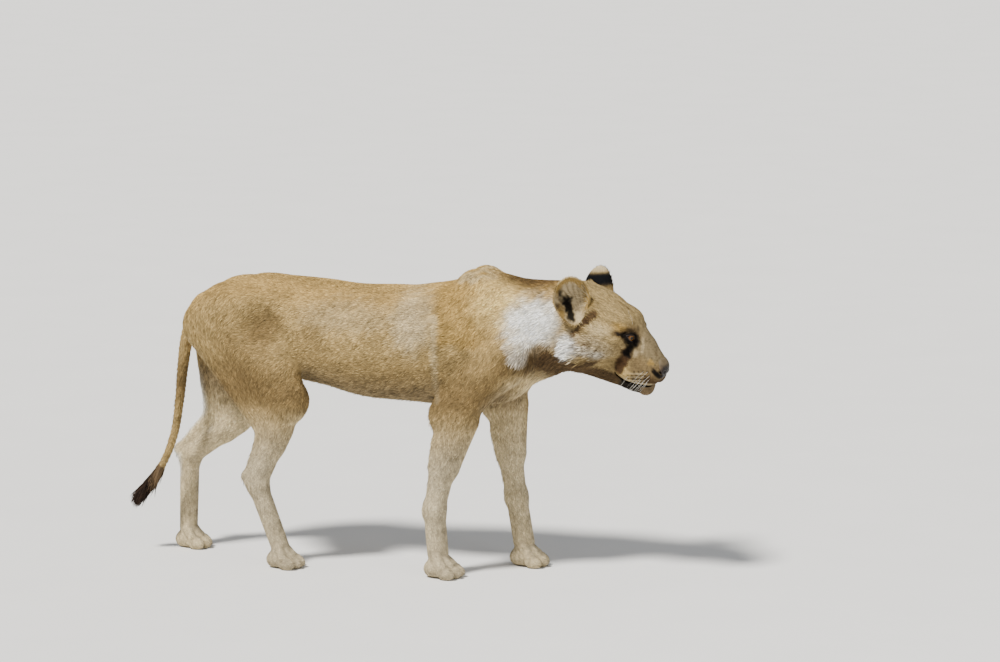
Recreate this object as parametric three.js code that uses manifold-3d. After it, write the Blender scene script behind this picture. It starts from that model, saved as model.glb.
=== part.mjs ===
// A life-size lioness, walking with her head carried low and turned a little to her right.
//
// Millimetres. +X runs forward along her spine, +Y to her left, +Z up. The origin is on the
// floor, under the middle of the model's bounding box.
//
// The body is one smooth solid, given by a distance function: a trunk of measured oval
// sections, with tapered muscles blended onto it. Each part of the body is meshed from that
// function on a grid of its own and parted from its neighbours by a thin flat cut. Ears, eyes,
// lids, the tail and its tuft are shapes of their own.
import * as THREE from "three";
import { mergeVertices } from "three/addons/utils/BufferGeometryUtils.js";
import Module from "manifold-3d";

const wasm = await Module();
wasm.setup();

// ---------------------------------------------------------------- driving dimensions

const CUT_GAP = 0.3; // between one part and the next
const FAR = 3000; // beyond every part

const TRUNK_ROUND = 2.3; // exponent of the trunk's oval sections, 2 is an ellipse

// The trunk and neck from rump to head: height of the back and of the belly, half the width,
// and how far the middle of the section lies to her left.
const TRUNK = [
  { x: -615, top: 790, bottom: 690, half: 66, left: 0 },
  { x: -570, top: 830, bottom: 640, half: 92, left: 0 },
  { x: -510, top: 858, bottom: 600, half: 110, left: 0 },
  { x: -430, top: 884, bottom: 580, half: 120, left: 0 },
  { x: -330, top: 880, bottom: 566, half: 126, left: 0 },
  { x: -220, top: 873, bottom: 548, half: 137, left: 0 },
  { x: -110, top: 861, bottom: 532, half: 148, left: 0 },
  { x: 0, top: 859, bottom: 520, half: 154, left: 0 },
  { x: 100, top: 873, bottom: 508, half: 151, left: 0 },
  { x: 180, top: 888, bottom: 502, half: 142, left: 0 },
  { x: 250, top: 920, bottom: 506, half: 130, left: 0 },
  { x: 320, top: 912, bottom: 528, half: 116, left: 0 },
  { x: 390, top: 898, bottom: 565, half: 104, left: -2 },
  { x: 450, top: 896, bottom: 592, half: 92, left: -6 },
  { x: 520, top: 897, bottom: 622, half: 82, left: -13 },
  { x: 590, top: 888, bottom: 660, half: 76, left: -20 },
];

// The head hangs from the point midway between the ear canals.
const HEAD = {
  at: new THREE.Vector3(601, -20, 778),
  pitch: 18, // degrees, nose down
  yaw: -9, // degrees, to her right
};
const EYE = { at: new THREE.Vector3(133, -37.5, 10), radius: 20 };
const GAZE = new THREE.Vector3(0.82, 0.55, 0.1); // of her left eye
const LID = 3.6; // thickness of the eyelids

// The line where the lips meet, seen from the side of the head: x forward, z up.
const LIPS = [[124, -104], [140, -112], [170, -117], [205, -116], [238, -109], [262, -101], [300, -92]];
const LIP_GROOVE = 3.6;
const LIP_PEAK = { rise: 9, half: 15, from: 215, to: 255 }; // under the middle of the nose

// Joints of the legs, hip or shoulder first. y is the distance from the mid-plane.
const FORELEG_RIGHT = {
  withers: [250, 52, 878], shoulder: [362, 106, 668], elbow: [200, 122, 486],
  wrist: [142, 116, 205], knuckle: [152, 114, 74], side: -1,
};
const FORELEG_LEFT = {
  withers: [262, 52, 876], shoulder: [385, 106, 674], elbow: [288, 122, 492],
  wrist: [334, 116, 212], knuckle: [358, 114, 74], side: 1,
};
const HINDLEG_RIGHT = {
  hip: [-505, 72, 746], knee: [-312, 128, 518], hock: [-414, 112, 252],
  knuckle: [-346, 108, 66], seat: [-600, 56, 722], calf: [-371, 120, 432], side: -1,
};
const HINDLEG_LEFT = {
  hip: [-512, 72, 744], knee: [-478, 118, 474], hock: [-706, 106, 284],
  knuckle: [-712, 104, 66], seat: [-612, 58, 716], calf: [-612, 110, 440], side: 1,
};
const FOREPAW = { toe: 15.5, spread: 27, reach: 54, pad: [46, 46, 34] };
const HINDPAW = { toe: 14, spread: 24, reach: 50, pad: [42, 40, 33] };

// The tail hangs from the rump and lifts clear of the floor at its tip.
const TAIL = [
  [-590, 0, 795], [-628, 0, 765], [-656, -1, 722], [-674, -3, 664], [-686, -5, 585],
  [-698, -6, 478], [-717, -6, 372], [-758, -3, 275], [-816, 3, 200],
];
const TAIL_ROOT = 28;
const TAIL_TIP = 12;
const TUFT = { rings: 3, locks: 8, length: 96, width: 18, thick: 6, start: 0.87 };

// ---------------------------------------------------------------- small helpers

const degrees = THREE.MathUtils.degToRad;
const long = (x, y, z) => Math.sqrt(x * x + y * y + z * z);
const clamp = THREE.MathUtils.clamp;
const point = (p) => new THREE.Vector3(p[0], p[1], p[2]);
const between = (a, b, t) => a.map((value, i) => value + (b[i] - value) * t);
const onSide = (p, side) => [p[0], p[1] * side, p[2]];

// A fixed sequence of even numbers between 0 and 1.
function seeded(seed) {
  let state = seed;
  return () => {
    state = (state * 16807) % 2147483647;
    return state / 2147483647;
  };
}

// ---------------------------------------------------------------- distance functions

// A tapered bone or muscle from a to b. flat below 1 makes it narrower from side to side.
function muscle(a, b, radiusA, radiusB, flat = 1) {
  const ay = a[1] / flat;
  const dx = b[0] - a[0];
  const dy = b[1] / flat - ay;
  const dz = b[2] - a[2];
  const lengthSquared = dx * dx + dy * dy + dz * dz;
  return (x, y, z) => {
    const px = x - a[0];
    const py = y / flat - ay;
    const pz = z - a[2];
    const t = clamp((px * dx + py * dy + pz * dz) / lengthSquared, 0, 1);
    const away = long(px - t * dx, py - t * dy, pz - t * dz);
    return away - radiusA - t * (radiusB - radiusA);
  };
}

// An ellipsoid, pitched nose down by some degrees.
function lump(centre, radii, pitch = 0) {
  const c = Math.cos(degrees(pitch));
  const s = Math.sin(degrees(pitch));
  const widest = Math.max(...radii);
  return (x, y, z) => {
    const px = x - centre[0];
    const pz = z - centre[2];
    const outside = Math.abs(px) + Math.abs(pz) - 2 * widest;
    if (outside > 140) return outside;
    const qx = (px * c - pz * s) / radii[0];
    const qy = (y - centre[1]) / radii[1];
    const qz = (px * s + pz * c) / radii[2];
    const size = long(qx, qy, qz);
    const slope = long(qx / radii[0], qy / radii[1], qz / radii[2]);
    return slope < 1e-9 ? -Math.min(...radii) : (size * (size - 1)) / slope;
  };
}

const mirrored = (mass) => (x, y, z) => mass(x, Math.abs(y), z);

function smoothMin(a, b, blend) {
  const h = Math.max(blend - Math.abs(a - b), 0) / blend;
  return Math.min(a, b) - (h * h * blend) / 4;
}
const smoothMax = (a, b, blend) => -smoothMin(-a, -b, blend);

// Masses are pairs of a distance function and the width of its blend with what came before.
function joined(masses) {
  const shapes = masses.map(([mass]) => mass);
  const blends = masses.map(([, blend]) => blend);
  return (x, y, z) => {
    let d = FAR;
    for (let i = 0; i < shapes.length; i++) d = smoothMin(d, shapes[i](x, y, z), blends[i]);
    return d;
  };
}

// A smooth curve through the table's rows at x.
function tableAt(rows, x, key) {
  let i = 0;
  while (i < rows.length - 2 && x > rows[i + 1].x) i++;
  const at = (n) => rows[clamp(n, 0, rows.length - 1)];
  const [before, from, to, after] = [at(i - 1), at(i), at(i + 1), at(i + 2)];
  const span = to.x - from.x;
  const t = clamp((x - from.x) / span, 0, 1);
  const slopeFrom = ((to[key] - before[key]) / (to.x - before.x)) * span;
  const slopeTo = ((after[key] - from[key]) / (after.x - from.x)) * span;
  const t2 = t * t;
  const t3 = t2 * t;
  return (2 * t3 - 3 * t2 + 1) * from[key] + (t3 - 2 * t2 + t) * slopeFrom +
    (3 * t2 - 2 * t3) * to[key] + (t3 - t2) * slopeTo;
}

function trunk(x, y, z) {
  const top = tableAt(TRUNK, x, "top");
  const bottom = tableAt(TRUNK, x, "bottom");
  const dy = y - tableAt(TRUNK, x, "left");
  const dz = z - (top + bottom) / 2;
  const across = Math.abs(dy) / tableAt(TRUNK, x, "half");
  const up = Math.abs(dz) / ((top - bottom) / 2);
  const size = (across ** TRUNK_ROUND + up ** TRUNK_ROUND) ** (1 / TRUNK_ROUND);
  const radius = Math.hypot(dy, dz);
  const around = size < 1e-6 ? -FAR : radius - radius / size;
  return Math.max(around, TRUNK[0].x - x, x - TRUNK.at(-1).x);
}

const trunkMuscles = [
  [lump([-556, 0, 742], [92, 92, 88]), 40],
  [mirrored(lump([-488, 70, 782], [98, 54, 74])), 45],
  [mirrored(lump([-20, 92, 690], [250, 68, 150])), 60],
  [lump([322, 0, 610], [78, 82, 82]), 50],
  [mirrored(muscle([400, 42, 796], [560, 44, 800], 60, 50, 0.8)), 50],
  // the fold of skin behind the shoulder
  [mirrored(muscle([158, 76, 838], [162, 113, 740], 24, 28)), 30],
  [mirrored(muscle([162, 113, 740], [168, 113, 620], 28, 26)), 30],
];
const flankHollow = mirrored(lump([-386, 176, 742], [72, 54, 84]));

// Paw: a sole pad, four toes in an arc and their knuckles, on the floor under the joint.
function pawMasses(joint, paw, side) {
  const [x, y] = onSide(joint, side);
  const masses = [
    [lump([x + 6, y, paw.pad[2] - 3], paw.pad), 14],
    [lump([x - 20, y, 24], [24, paw.pad[1] - 14, 25]), 10],
  ];
  for (let toe = 0; toe < 4; toe++) {
    const across = toe - 1.5;
    const forward = paw.reach - across * across * 7 - (across * side > 0 ? 4 : 0);
    const ty = y + across * paw.spread;
    const root = [x + 4, y + across * paw.spread * 0.7, 62];
    masses.push([muscle(root, [x + forward - 12, ty, 36], 16, paw.toe + 2), 9]);
    masses.push([lump([x + forward, ty, 19], [29, paw.toe + 1, 22], 12), 7]);
  }
  return masses;
}

function forelegMasses(leg) {
  const at = (name) => onSide(leg[name], leg.side);
  const elbow = at("elbow");
  const wrist = at("wrist");
  const behindShoulder = between(at("withers"), at("shoulder"), 0.45);
  behindShoulder[0] -= 62;
  const belowElbow = [elbow[0] + 16, elbow[1], elbow[2] - 4];
  const middle = between(elbow, wrist, 0.5);
  middle[0] += 6;
  return [
    [muscle(at("withers"), at("shoulder"), 42, 66, 0.62), 50],
    [muscle(at("shoulder"), elbow, 66, 50, 0.68), 40],
    [muscle(behindShoulder, elbow, 74, 44, 0.58), 42],
    [muscle(belowElbow, middle, 69, 48, 0.66), 26],
    [muscle(between(elbow, wrist, 0.3), wrist, 46, 33, 0.84), 26],
    [lump([elbow[0] - 42, elbow[1], elbow[2] + 8], [30, 21, 38]), 34],
    [muscle(wrist, at("knuckle"), 34, 34, 1.02), 24],
    [lump([wrist[0] - 17, wrist[1], wrist[2] - 12], [17, 14, 16]), 14],
    ...pawMasses(leg.knuckle, FOREPAW, leg.side),
  ];
}

function hindlegMasses(leg) {
  const at = (name) => onSide(leg[name], leg.side);
  const knee = at("knee");
  const hock = at("hock");
  const seat = at("seat");
  const calf = at("calf");
  const heel = [hock[0] - 34, hock[1], hock[2] + 24];
  return [
    [muscle(at("hip"), knee, 108, 66, 0.56), 46],
    [muscle(seat, calf, 68, 50, 0.62), 46],
    [muscle(between(at("hip"), knee, 0.35), knee, 78, 52, 0.6), 40],
    [muscle(knee, between(knee, hock, 0.5), 52, 40, 0.8), 30],
    [muscle(between(knee, hock, 0.35), hock, 45, 29, 0.78), 30],
    [muscle(calf, heel, 32, 15, 0.7), 24],
    [muscle(heel, hock, 16, 27, 0.85), 18],
    [muscle(hock, at("knuckle"), 32, 30, 0.92), 24],
    ...pawMasses(leg.knuckle, HINDPAW, leg.side),
  ];
}

// The head in its own frame: x forward from the ear canals, y left, z up.
const headMasses = [
  [lump([-4, 0, 40], [90, 86, 70]), 10],
  [lump([68, 0, 44], [72, 60, 47], 8), 34],
  [mirrored(lump([106, 36, 53], [34, 27, 22], 18)), 20],
  [mirrored(lump([46, 65, -24], [80, 45, 64])), 40],
  [mirrored(lump([94, 50, -14], [42, 30, 30], 16)), 26],
  [mirrored(lump([14, 58, -84], [58, 47, 50])), 40],
  [muscle([110, 0, 27], [178, 0, -12], 49, 39, 0.98), 28],
  [muscle([178, 0, -12], [236, 0, -47], 39, 27, 0.98), 8],
  [muscle([110, 0, -30], [216, 0, -62], 62, 42, 0.98), 34],
  [mirrored(lump([220, 26, -76], [42, 29, 37], 14)), 16],
  [mirrored(lump([172, 42, -84], [46, 22, 33], 8)), 20],
  [muscle([20, 0, -96], [180, 0, -111], 63, 36, 0.86), 30],
  [muscle([170, 0, -112], [222, 0, -121], 31, 26, 1.1), 16],
  [lump([246, 0, -43], [22, 26, 20], 20), 8],
  [mirrored(lump([248, 21, -54], [18, 12, 12], 10)), 6],
];
const EYEBALL = EYE.at.toArray().map(Math.abs);
const lidBall = mirrored(lump(EYEBALL, [1, 1, 1].map(() => EYE.radius + LID)));
const headCarves = [
  [mirrored(lump([159, 47, 7], [24, 14, 15], 18)), 12],
  [mirrored(lump([178, 46, -18], [36, 11, 22], 30)), 22],
  [mirrored(muscle([272, 10, -54], [255, 24, -56], 4.8, 3.4)), 3],
  [mirrored(muscle([258, 24, -56], [231, 38, -54], 3.6, 2.2)), 3],
  [muscle([268, 0, -68], [262, 0, -92], 2.6, 2.6), 4],
];

const headFlesh = joined(headMasses);
function headShape(x, y, z) {
  const carved = headCarves.reduce(
    (d, [carve, blend]) => smoothMax(d, -carve(x, y, z), blend), headFlesh(x, y, z));
  const lidded = smoothMin(carved, lidBall(x, y, z), 5);
  return smoothMax(lidded, -lipGroove(x, y, z), 4);
}

// The height of the line of the lips, with its peak in the middle of the front.
function lipHeight(x, y) {
  let i = 0;
  while (i < LIPS.length - 2 && x > LIPS[i + 1][0]) i++;
  const [[x0, z0], [x1, z1]] = [LIPS[i], LIPS[i + 1]];
  const peak = LIP_PEAK.rise * Math.exp(-((y / LIP_PEAK.half) ** 2));
  const along = THREE.MathUtils.smoothstep(x, LIP_PEAK.from, LIP_PEAK.to);
  return z0 + ((z1 - z0) * (x - x0)) / (x1 - x0) + peak * along;
}

// A shallow groove all along the lips.
function lipGroove(x, y, z) {
  const depth = headFlesh(x, y, z) + LIP_GROOVE + 2;
  const off = Math.hypot(z - lipHeight(x, y), Math.max(LIPS[0][0] + 6 - x, 0));
  return Math.max(off - LIP_GROOVE / 2, -depth);
}

// ---------------------------------------------------------------- the head's frame

const headTurn = new THREE.Euler(0, degrees(HEAD.pitch), degrees(HEAD.yaw), "ZYX");
const headMatrix = new THREE.Matrix4()
  .makeRotationFromEuler(headTurn)
  .setPosition(HEAD.at);
const intoHead = headMatrix.clone().invert().elements;
const outOfHead = headMatrix.elements;
const through = (m, x, y, z) => [
  m[0] * x + m[4] * y + m[8] * z + m[12],
  m[1] * x + m[5] * y + m[9] * z + m[13],
  m[2] * x + m[6] * y + m[10] * z + m[14],
];

const roundedFlesh = joined([
  [trunk, 10],
  ...trunkMuscles,
  ...forelegMasses(FORELEG_RIGHT),
  ...forelegMasses(FORELEG_LEFT),
  ...hindlegMasses(HINDLEG_RIGHT),
  ...hindlegMasses(HINDLEG_LEFT),
]);
const bodyFlesh = (x, y, z) => smoothMax(roundedFlesh(x, y, z), -flankHollow(x, y, z), 40);
const NECK_BLEND = 46;
const body = (x, y, z) =>
  smoothMin(bodyFlesh(x, y, z), headShape(...through(intoHead, x, y, z)), NECK_BLEND);
const bodyFromHead = (x, y, z) => body(...through(outOfHead, x, y, z));

// ---------------------------------------------------------------- meshing

const steps = (from, to, size) => {
  const count = Math.ceil((to - from) / size);
  return Array.from({ length: count + 1 }, (_, i) => from + ((to - from) * i) / count);
};

// A closed mesh of the surface where distance is 0, inside a box of grid cells (surface nets):
// one vertex in each cell that the surface crosses, moved onto the surface, and one quad
// across each grid line that it crosses.
function meshOf(distance, low, high, size) {
  const axes = low.map((from, i) => steps(from, high[i], size[i]));
  const [nx, ny, nz] = axes.map((a) => a.length);
  const at = (i, j, k) => (i * ny + j) * nz + k;
  const values = new Float32Array(nx * ny * nz);
  for (let i = 0; i < nx; i++)
    for (let j = 0; j < ny; j++)
      for (let k = 0; k < nz; k++) {
        const edge = !i || !j || !k || i === nx - 1 || j === ny - 1 || k === nz - 1;
        values[at(i, j, k)] = edge ? 1 : distance(axes[0][i], axes[1][j], axes[2][k]) || 1e-6;
      }
  unpinch(values, [nx, ny, nz], [ny * nz, nz, 1]);
  const vertexOf = new Map();
  const positions = [];
  const corners = [0, 1].flatMap((a) => [0, 1].flatMap((b) => [0, 1].map((c) => [a, b, c])));
  for (let i = 0; i < nx - 1; i++)
    for (let j = 0; j < ny - 1; j++)
      for (let k = 0; k < nz - 1; k++) {
        const found = crossing(corners, (a, b, c) => values[at(i + a, j + b, k + c)]);
        if (!found) continue;
        const cell = [i, j, k];
        let p = found.map((t, n) =>
          axes[n][cell[n]] + t * (axes[n][cell[n] + 1] - axes[n][cell[n]]));
        const inner = cell.every((c, n) => c > 0 && c < axes[n].length - 2);
        if (inner) p = ontoSurface(distance, p);
        vertexOf.set(at(i, j, k), positions.length / 3);
        positions.push(...p);
      }
  const index = [];
  const around = [[0, 0], [1, 0], [1, 1], [0, 1]];
  for (let i = 0; i < nx - 1; i++)
    for (let j = 0; j < ny - 1; j++)
      for (let k = 0; k < nz - 1; k++)
        for (let axis = 0; axis < 3; axis++) {
          if ([i, j, k].some((n, other) => !n && other !== axis)) continue;
          const here = values[at(i, j, k)];
          const next = values[at(i + (axis === 0), j + (axis === 1), k + (axis === 2))];
          if (here < 0 === next < 0) continue;
          const cells = around.map(([a, b]) => {
            const back = [0, 0, 0];
            back[(axis + 1) % 3] = a;
            back[(axis + 2) % 3] = b;
            return vertexOf.get(at(i - back[0], j - back[1], k - back[2]));
          });
          addQuad(index, positions, here < 0 ? cells : cells.reverse());
        }
  return indexed(positions, index);
}

// Moves a grid point outside wherever two inside ones meet only across the diagonal of a
// cell's face, as the mesh would be pinched there.
function unpinch(values, counts, strides) {
  const pairs = [[0, 1], [1, 2], [0, 2]];
  let again = true;
  while (again) {
    again = false;
    for (let i = 0; i < counts[0] - 1; i++)
      for (let j = 0; j < counts[1] - 1; j++)
        for (let k = 0; k < counts[2] - 1; k++) {
          const a = i * strides[0] + j * strides[1] + k;
          for (const [u, v] of pairs) {
            const [b, c] = [a + strides[u], a + strides[v]];
            const d = b + strides[v];
            const inside = [a, b, c, d].map((n) => values[n] < 0);
            if (inside[0] !== inside[3] || inside[1] !== inside[2]) continue;
            if (inside[0] === inside[1]) continue;
            const [p, q] = inside[0] ? [a, d] : [b, c];
            values[values[p] > values[q] ? p : q] = 1e-3;
            again = true;
          }
        }
  }
}

// The mean of the points where the surface crosses a unit cell's edges, or null.
function crossing(corners, valueAt) {
  const sum = [0, 0, 0];
  let count = 0;
  for (const corner of corners)
    for (let axis = 0; axis < 3; axis++) {
      if (corner[axis]) continue;
      const other = corner.slice();
      other[axis] = 1;
      const a = valueAt(...corner);
      const b = valueAt(...other);
      if (a < 0 === b < 0) continue;
      const t = a / (a - b);
      for (let n = 0; n < 3; n++) sum[n] += n === axis ? t : corner[n];
      count++;
    }
  return count ? sum.map((value) => value / count) : null;
}

function ontoSurface(distance, start) {
  const h = 0.5;
  let p = start;
  for (let round = 0; round < 2; round++) {
    const d = distance(...p);
    const slope = [0, 1, 2].map((n) => {
      const q = p.slice();
      q[n] += h;
      return (distance(...q) - d) / h;
    });
    const steep = Math.max(slope.reduce((s, g) => s + g * g, 0), 0.25);
    p = p.map((value, n) => value - (d * slope[n]) / steep);
  }
  return p;
}

// The mesh with fewer triangles: edges are collapsed, on the flattest places first, and the
// points that are left are moved back onto the surface.
function thinned(geometry, distance, wanted) {
  const points = Float64Array.from(geometry.attributes.position.array);
  const faces = [];
  const around = Array.from({ length: points.length / 3 }, () => new Set());
  const quadrics = new Float64Array((points.length / 3) * 10);
  const order = geometry.index.array;
  for (let i = 0; i < order.length; i += 3) {
    const face = [order[i], order[i + 1], order[i + 2]];
    for (const v of face) around[v].add(faces.length);
    addQuadric(quadrics, face, faceNormal(points, face));
    faces.push(face);
  }
  let count = faces.length;
  let before = Infinity;
  while (count > wanted && count < before) {
    before = count;
    count = collapseFlattest(points, faces, around, quadrics, count, wanted);
  }
  return compacted(points, faces, distance);
}

// A face's normal, as long as twice its area, with moved in place of the point named instead.
function faceNormal(points, face, instead = -1, moved = null) {
  const [a, b, c] = face.map((v) =>
    v === instead ? moved : [points[3 * v], points[3 * v + 1], points[3 * v + 2]]);
  const [ux, uy, uz] = [b[0] - a[0], b[1] - a[1], b[2] - a[2]];
  const [vx, vy, vz] = [c[0] - a[0], c[1] - a[1], c[2] - a[2]];
  return [uy * vz - uz * vy, uz * vx - ux * vz, ux * vy - uy * vx, a];
}

// Adds the squared distance to the face's plane, weighted by its area, to its corners' sums.
function addQuadric(quadrics, face, [nx, ny, nz, [px, py, pz]]) {
  const size = Math.hypot(nx, ny, nz) || 1e-9;
  const [a, b, c] = [nx / size, ny / size, nz / size];
  const d = -(a * px + b * py + c * pz);
  const terms = [a * a, a * b, a * c, a * d, b * b, b * c, b * d, c * c, c * d, d * d];
  for (const v of face)
    for (let i = 0; i < 10; i++) quadrics[10 * v + i] += terms[i] * size;
}

function quadricAt(quadrics, a, b, [x, y, z]) {
  const q = (i) => quadrics[10 * a + i] + quadrics[10 * b + i];
  return q(0) * x * x + 2 * q(1) * x * y + 2 * q(2) * x * z + 2 * q(3) * x + q(4) * y * y +
    2 * q(5) * y * z + 2 * q(6) * y + q(7) * z * z + 2 * q(8) * z + q(9);
}

function collapseFlattest(points, faces, around, quadrics, count, wanted) {
  const edges = [];
  for (const face of faces) {
    if (!face) continue;
    for (let i = 0; i < 3; i++) {
      const [a, b] = [face[i], face[(i + 1) % 3]];
      if (a < b) edges.push(pricedEdge(points, quadrics, a, b));
    }
  }
  edges.sort((one, other) => one.cost - other.cost);
  const touched = new Uint8Array(around.length);
  for (const { a, b, at } of edges.slice(0, Math.ceil(edges.length * 0.4))) {
    if (touched[a] || touched[b] || !mayCollapse(points, faces, around, a, b, at)) continue;
    for (const f of around[b]) {
      const face = faces[f];
      if (face.includes(a)) {
        for (const v of face) if (v !== b) around[v].delete(f);
        faces[f] = null;
        count--;
        continue;
      }
      face[face.indexOf(b)] = a;
      around[a].add(f);
    }
    around[b].clear();
    for (let i = 0; i < 3; i++) points[3 * a + i] = at[i];
    for (let i = 0; i < 10; i++) quadrics[10 * a + i] += quadrics[10 * b + i];
    for (const f of around[a]) for (const v of faces[f]) touched[v] = 1;
    if (count <= wanted) break;
  }
  return count;
}

function pricedEdge(points, quadrics, a, b) {
  const [p, q] = [a, b].map((v) => [points[3 * v], points[3 * v + 1], points[3 * v + 2]]);
  const middle = between(p, q, 0.5);
  const length = Math.hypot(p[0] - q[0], p[1] - q[1], p[2] - q[2]);
  let best = { cost: Infinity };
  for (const at of [middle, p, q]) {
    const cost = quadricAt(quadrics, a, b, at) + 0.002 * length ** 4;
    if (cost < best.cost) best = { a, b, at, cost };
  }
  return best;
}

// Whether the edge can go with the surface still closed and no face turned over.
function mayCollapse(points, faces, around, a, b, at) {
  const near = (v) => new Set([...around[v]].flatMap((f) => faces[f]));
  const nearA = near(a);
  const shared = [...near(b)].filter((v) => nearA.has(v) && v !== a && v !== b);
  if (shared.length !== 2) return false;
  for (const v of [a, b])
    for (const f of around[v]) {
      const face = faces[f];
      if (face.includes(a) && face.includes(b)) continue;
      const old = faceNormal(points, face);
      const now = faceNormal(points, face, v, at);
      const turn = old[0] * now[0] + old[1] * now[1] + old[2] * now[2];
      const sizes = Math.hypot(old[0], old[1], old[2]) * Math.hypot(now[0], now[1], now[2]);
      if (turn < 0.35 * sizes || sizes < 1e-6) return false;
    }
  return true;
}

function compacted(points, faces, distance) {
  const names = new Map();
  const positions = [];
  const index = [];
  for (const face of faces) {
    if (!face) continue;
    for (const v of face) {
      if (!names.has(v)) {
        names.set(v, positions.length / 3);
        let p = [points[3 * v], points[3 * v + 1], points[3 * v + 2]];
        if (Math.abs(distance(...p)) < 3) p = ontoSurface(distance, p);
        positions.push(...p);
      }
      index.push(names.get(v));
    }
  }
  return indexed(positions, index);
}

function indexed(positions, index) {
  const geometry = new THREE.BufferGeometry();
  geometry.setAttribute("position", new THREE.Float32BufferAttribute(positions, 3));
  geometry.setIndex(index);
  return geometry;
}

// A quad as two triangles, split across its shorter diagonal.
function addQuad(index, positions, [a, b, c, d]) {
  const apart = (m, n) => Math.hypot(
    ...[0, 1, 2].map((i) => positions[3 * m + i] - positions[3 * n + i]));
  if (apart(a, c) < apart(b, d)) index.push(a, b, c, a, c, d);
  else index.push(a, b, d, b, c, d);
}

// ---------------------------------------------------------------- solids: join and cut

// The geometry's positions alone, each point only once.
function bare(geometry) {
  const copy = geometry.clone();
  for (const name of Object.keys(copy.attributes))
    if (name !== "position") copy.deleteAttribute(name);
  return mergeVertices(copy, 1e-3);
}

function solidOf(geometry) {
  const merged = bare(geometry);
  return new wasm.Manifold(new wasm.Mesh({
    numProp: 3,
    vertProperties: new Float32Array(merged.attributes.position.array),
    triVerts: new Uint32Array(merged.index.array),
  }));
}

function largest(solid) {
  return solid.decompose().reduce((a, b) => (b.volume() > a.volume() ? b : a));
}

function geometryOf(solid) {
  const mesh = largest(solid).getMesh();
  const geometry = new THREE.BufferGeometry();
  geometry.setAttribute("position", new THREE.Float32BufferAttribute(mesh.vertProperties, 3));
  geometry.setIndex(new THREE.Uint32BufferAttribute(mesh.triVerts, 1));
  geometry.computeVertexNormals();
  return geometry;
}

// Everything on the side of a plane that its normal points to, less a margin.
function beyond(at, normal, margin = CUT_GAP / 2) {
  const box = new THREE.BoxGeometry(2 * FAR, 2 * FAR, FAR);
  box.translate(0, 0, FAR / 2 + margin);
  const direction = normal.clone().normalize();
  const turn = new THREE.Quaternion().setFromUnitVectors(new THREE.Vector3(0, 0, 1), direction);
  box.applyQuaternion(turn).translate(at.x, at.y, at.z);
  return solidOf(box);
}

// A plane as its two sides: front is where the normal points.
function plane(at, normal) {
  return {
    front: beyond(at, normal),
    back: beyond(at, normal.clone().negate()),
  };
}

// The mesh moved outwards by some millimetres, to cut a close-fitting seat for it.
function swollen(geometry, by) {
  const grown = bare(geometry);
  grown.computeVertexNormals();
  const position = grown.attributes.position;
  const normal = grown.attributes.normal;
  for (let i = 0; i < position.count; i++)
    position.setXYZ(i, position.getX(i) + by * normal.getX(i),
      position.getY(i) + by * normal.getY(i), position.getZ(i) + by * normal.getZ(i));
  return grown;
}

// ---------------------------------------------------------------- where the parts meet

const up = new THREE.Vector3(0, 0, 1);
const floor = beyond(new THREE.Vector3(0, 0, -CUT_GAP / 2), up);
const headPoint = (x, y, z) => new THREE.Vector3(x, y, z).applyMatrix4(headMatrix);
const headDirection = (x, y, z) => new THREE.Vector3(x, y, z).applyEuler(headTurn);

const NAPE = [new THREE.Vector3(-62, 0, 40), new THREE.Vector3(1, 0, 0.22)];
const shoulderCut = plane(new THREE.Vector3(312, 0, 740), new THREE.Vector3(1, 0, 0.32));
const napeCut = plane(headPoint(...NAPE[0]), headDirection(...NAPE[1]));
const napeCutInHead = plane(...NAPE);
const GROIN = [new THREE.Vector3(-470, 0, 640), new THREE.Vector3(-0.3, 0, -1)];
const FLANK = [new THREE.Vector3(-250, 0, 600), new THREE.Vector3(-1, 0, 0)];
const hindquarters = (margin) => beyond(...GROIN, margin).intersect(beyond(...FLANK, margin));
const flankCut = plane(...FLANK);
const elbowCut = plane(new THREE.Vector3(200, 0, 496), up);
const middleCut = plane(new THREE.Vector3(0, 0, 0), new THREE.Vector3(0, 1, 0));
const FOREPAW_CUT = plane(new THREE.Vector3(0, 0, 148), up);
const HINDPAW_CUT = plane(new THREE.Vector3(0, 0, 128), up);

// ---------------------------------------------------------------- parts of the body

function fine(distance, low, high, size, triangles) {
  return solidOf(thinned(meshOf(distance, low, high, size), distance, triangles));
}

// The whole body but the paws and the head, to be parted at the cuts.
const bodySolid = fine(body, [-760, -215, 90], [700, 215, 970], [12, 10, 11], 5200);

const torso = () => bodySolid.intersect(shoulderCut.back).intersect(elbowCut.front)
  .subtract(hindquarters(-CUT_GAP / 2));
const neck = () => bodySolid.intersect(shoulderCut.front).intersect(napeCut.back)
  .intersect(elbowCut.front)
  .subtract(earSeat(-1).transform(headMatrix.elements))
  .subtract(earSeat(1).transform(headMatrix.elements));
const sideOf = (side) => (side > 0 ? middleCut.front : middleCut.back);
const foreleg = (side) =>
  bodySolid.intersect(elbowCut.back).intersect(flankCut.back).intersect(FOREPAW_CUT.front)
    .intersect(sideOf(side));
const hindleg = (side) =>
  bodySolid.intersect(hindquarters(CUT_GAP / 2)).intersect(HINDPAW_CUT.front)
    .intersect(sideOf(side));

function paw(joint, side, cut) {
  const [x, y] = onSide(joint, side);
  const low = [x - 95, y - 82, -24];
  const high = [x + 108, y + 82, 190];
  return fine(body, low, high, [6, 5.5, 6], 500).intersect(cut.back).intersect(floor);
}

// The head's own solid, without the flesh behind the nape, which is the neck's.
const headSolid = fine(bodyFromHead, [-115, -128, -175], [300, 128, 140], [5.2, 5.2, 5.2], 2800)
  .intersect(napeCutInHead.front);

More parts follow.
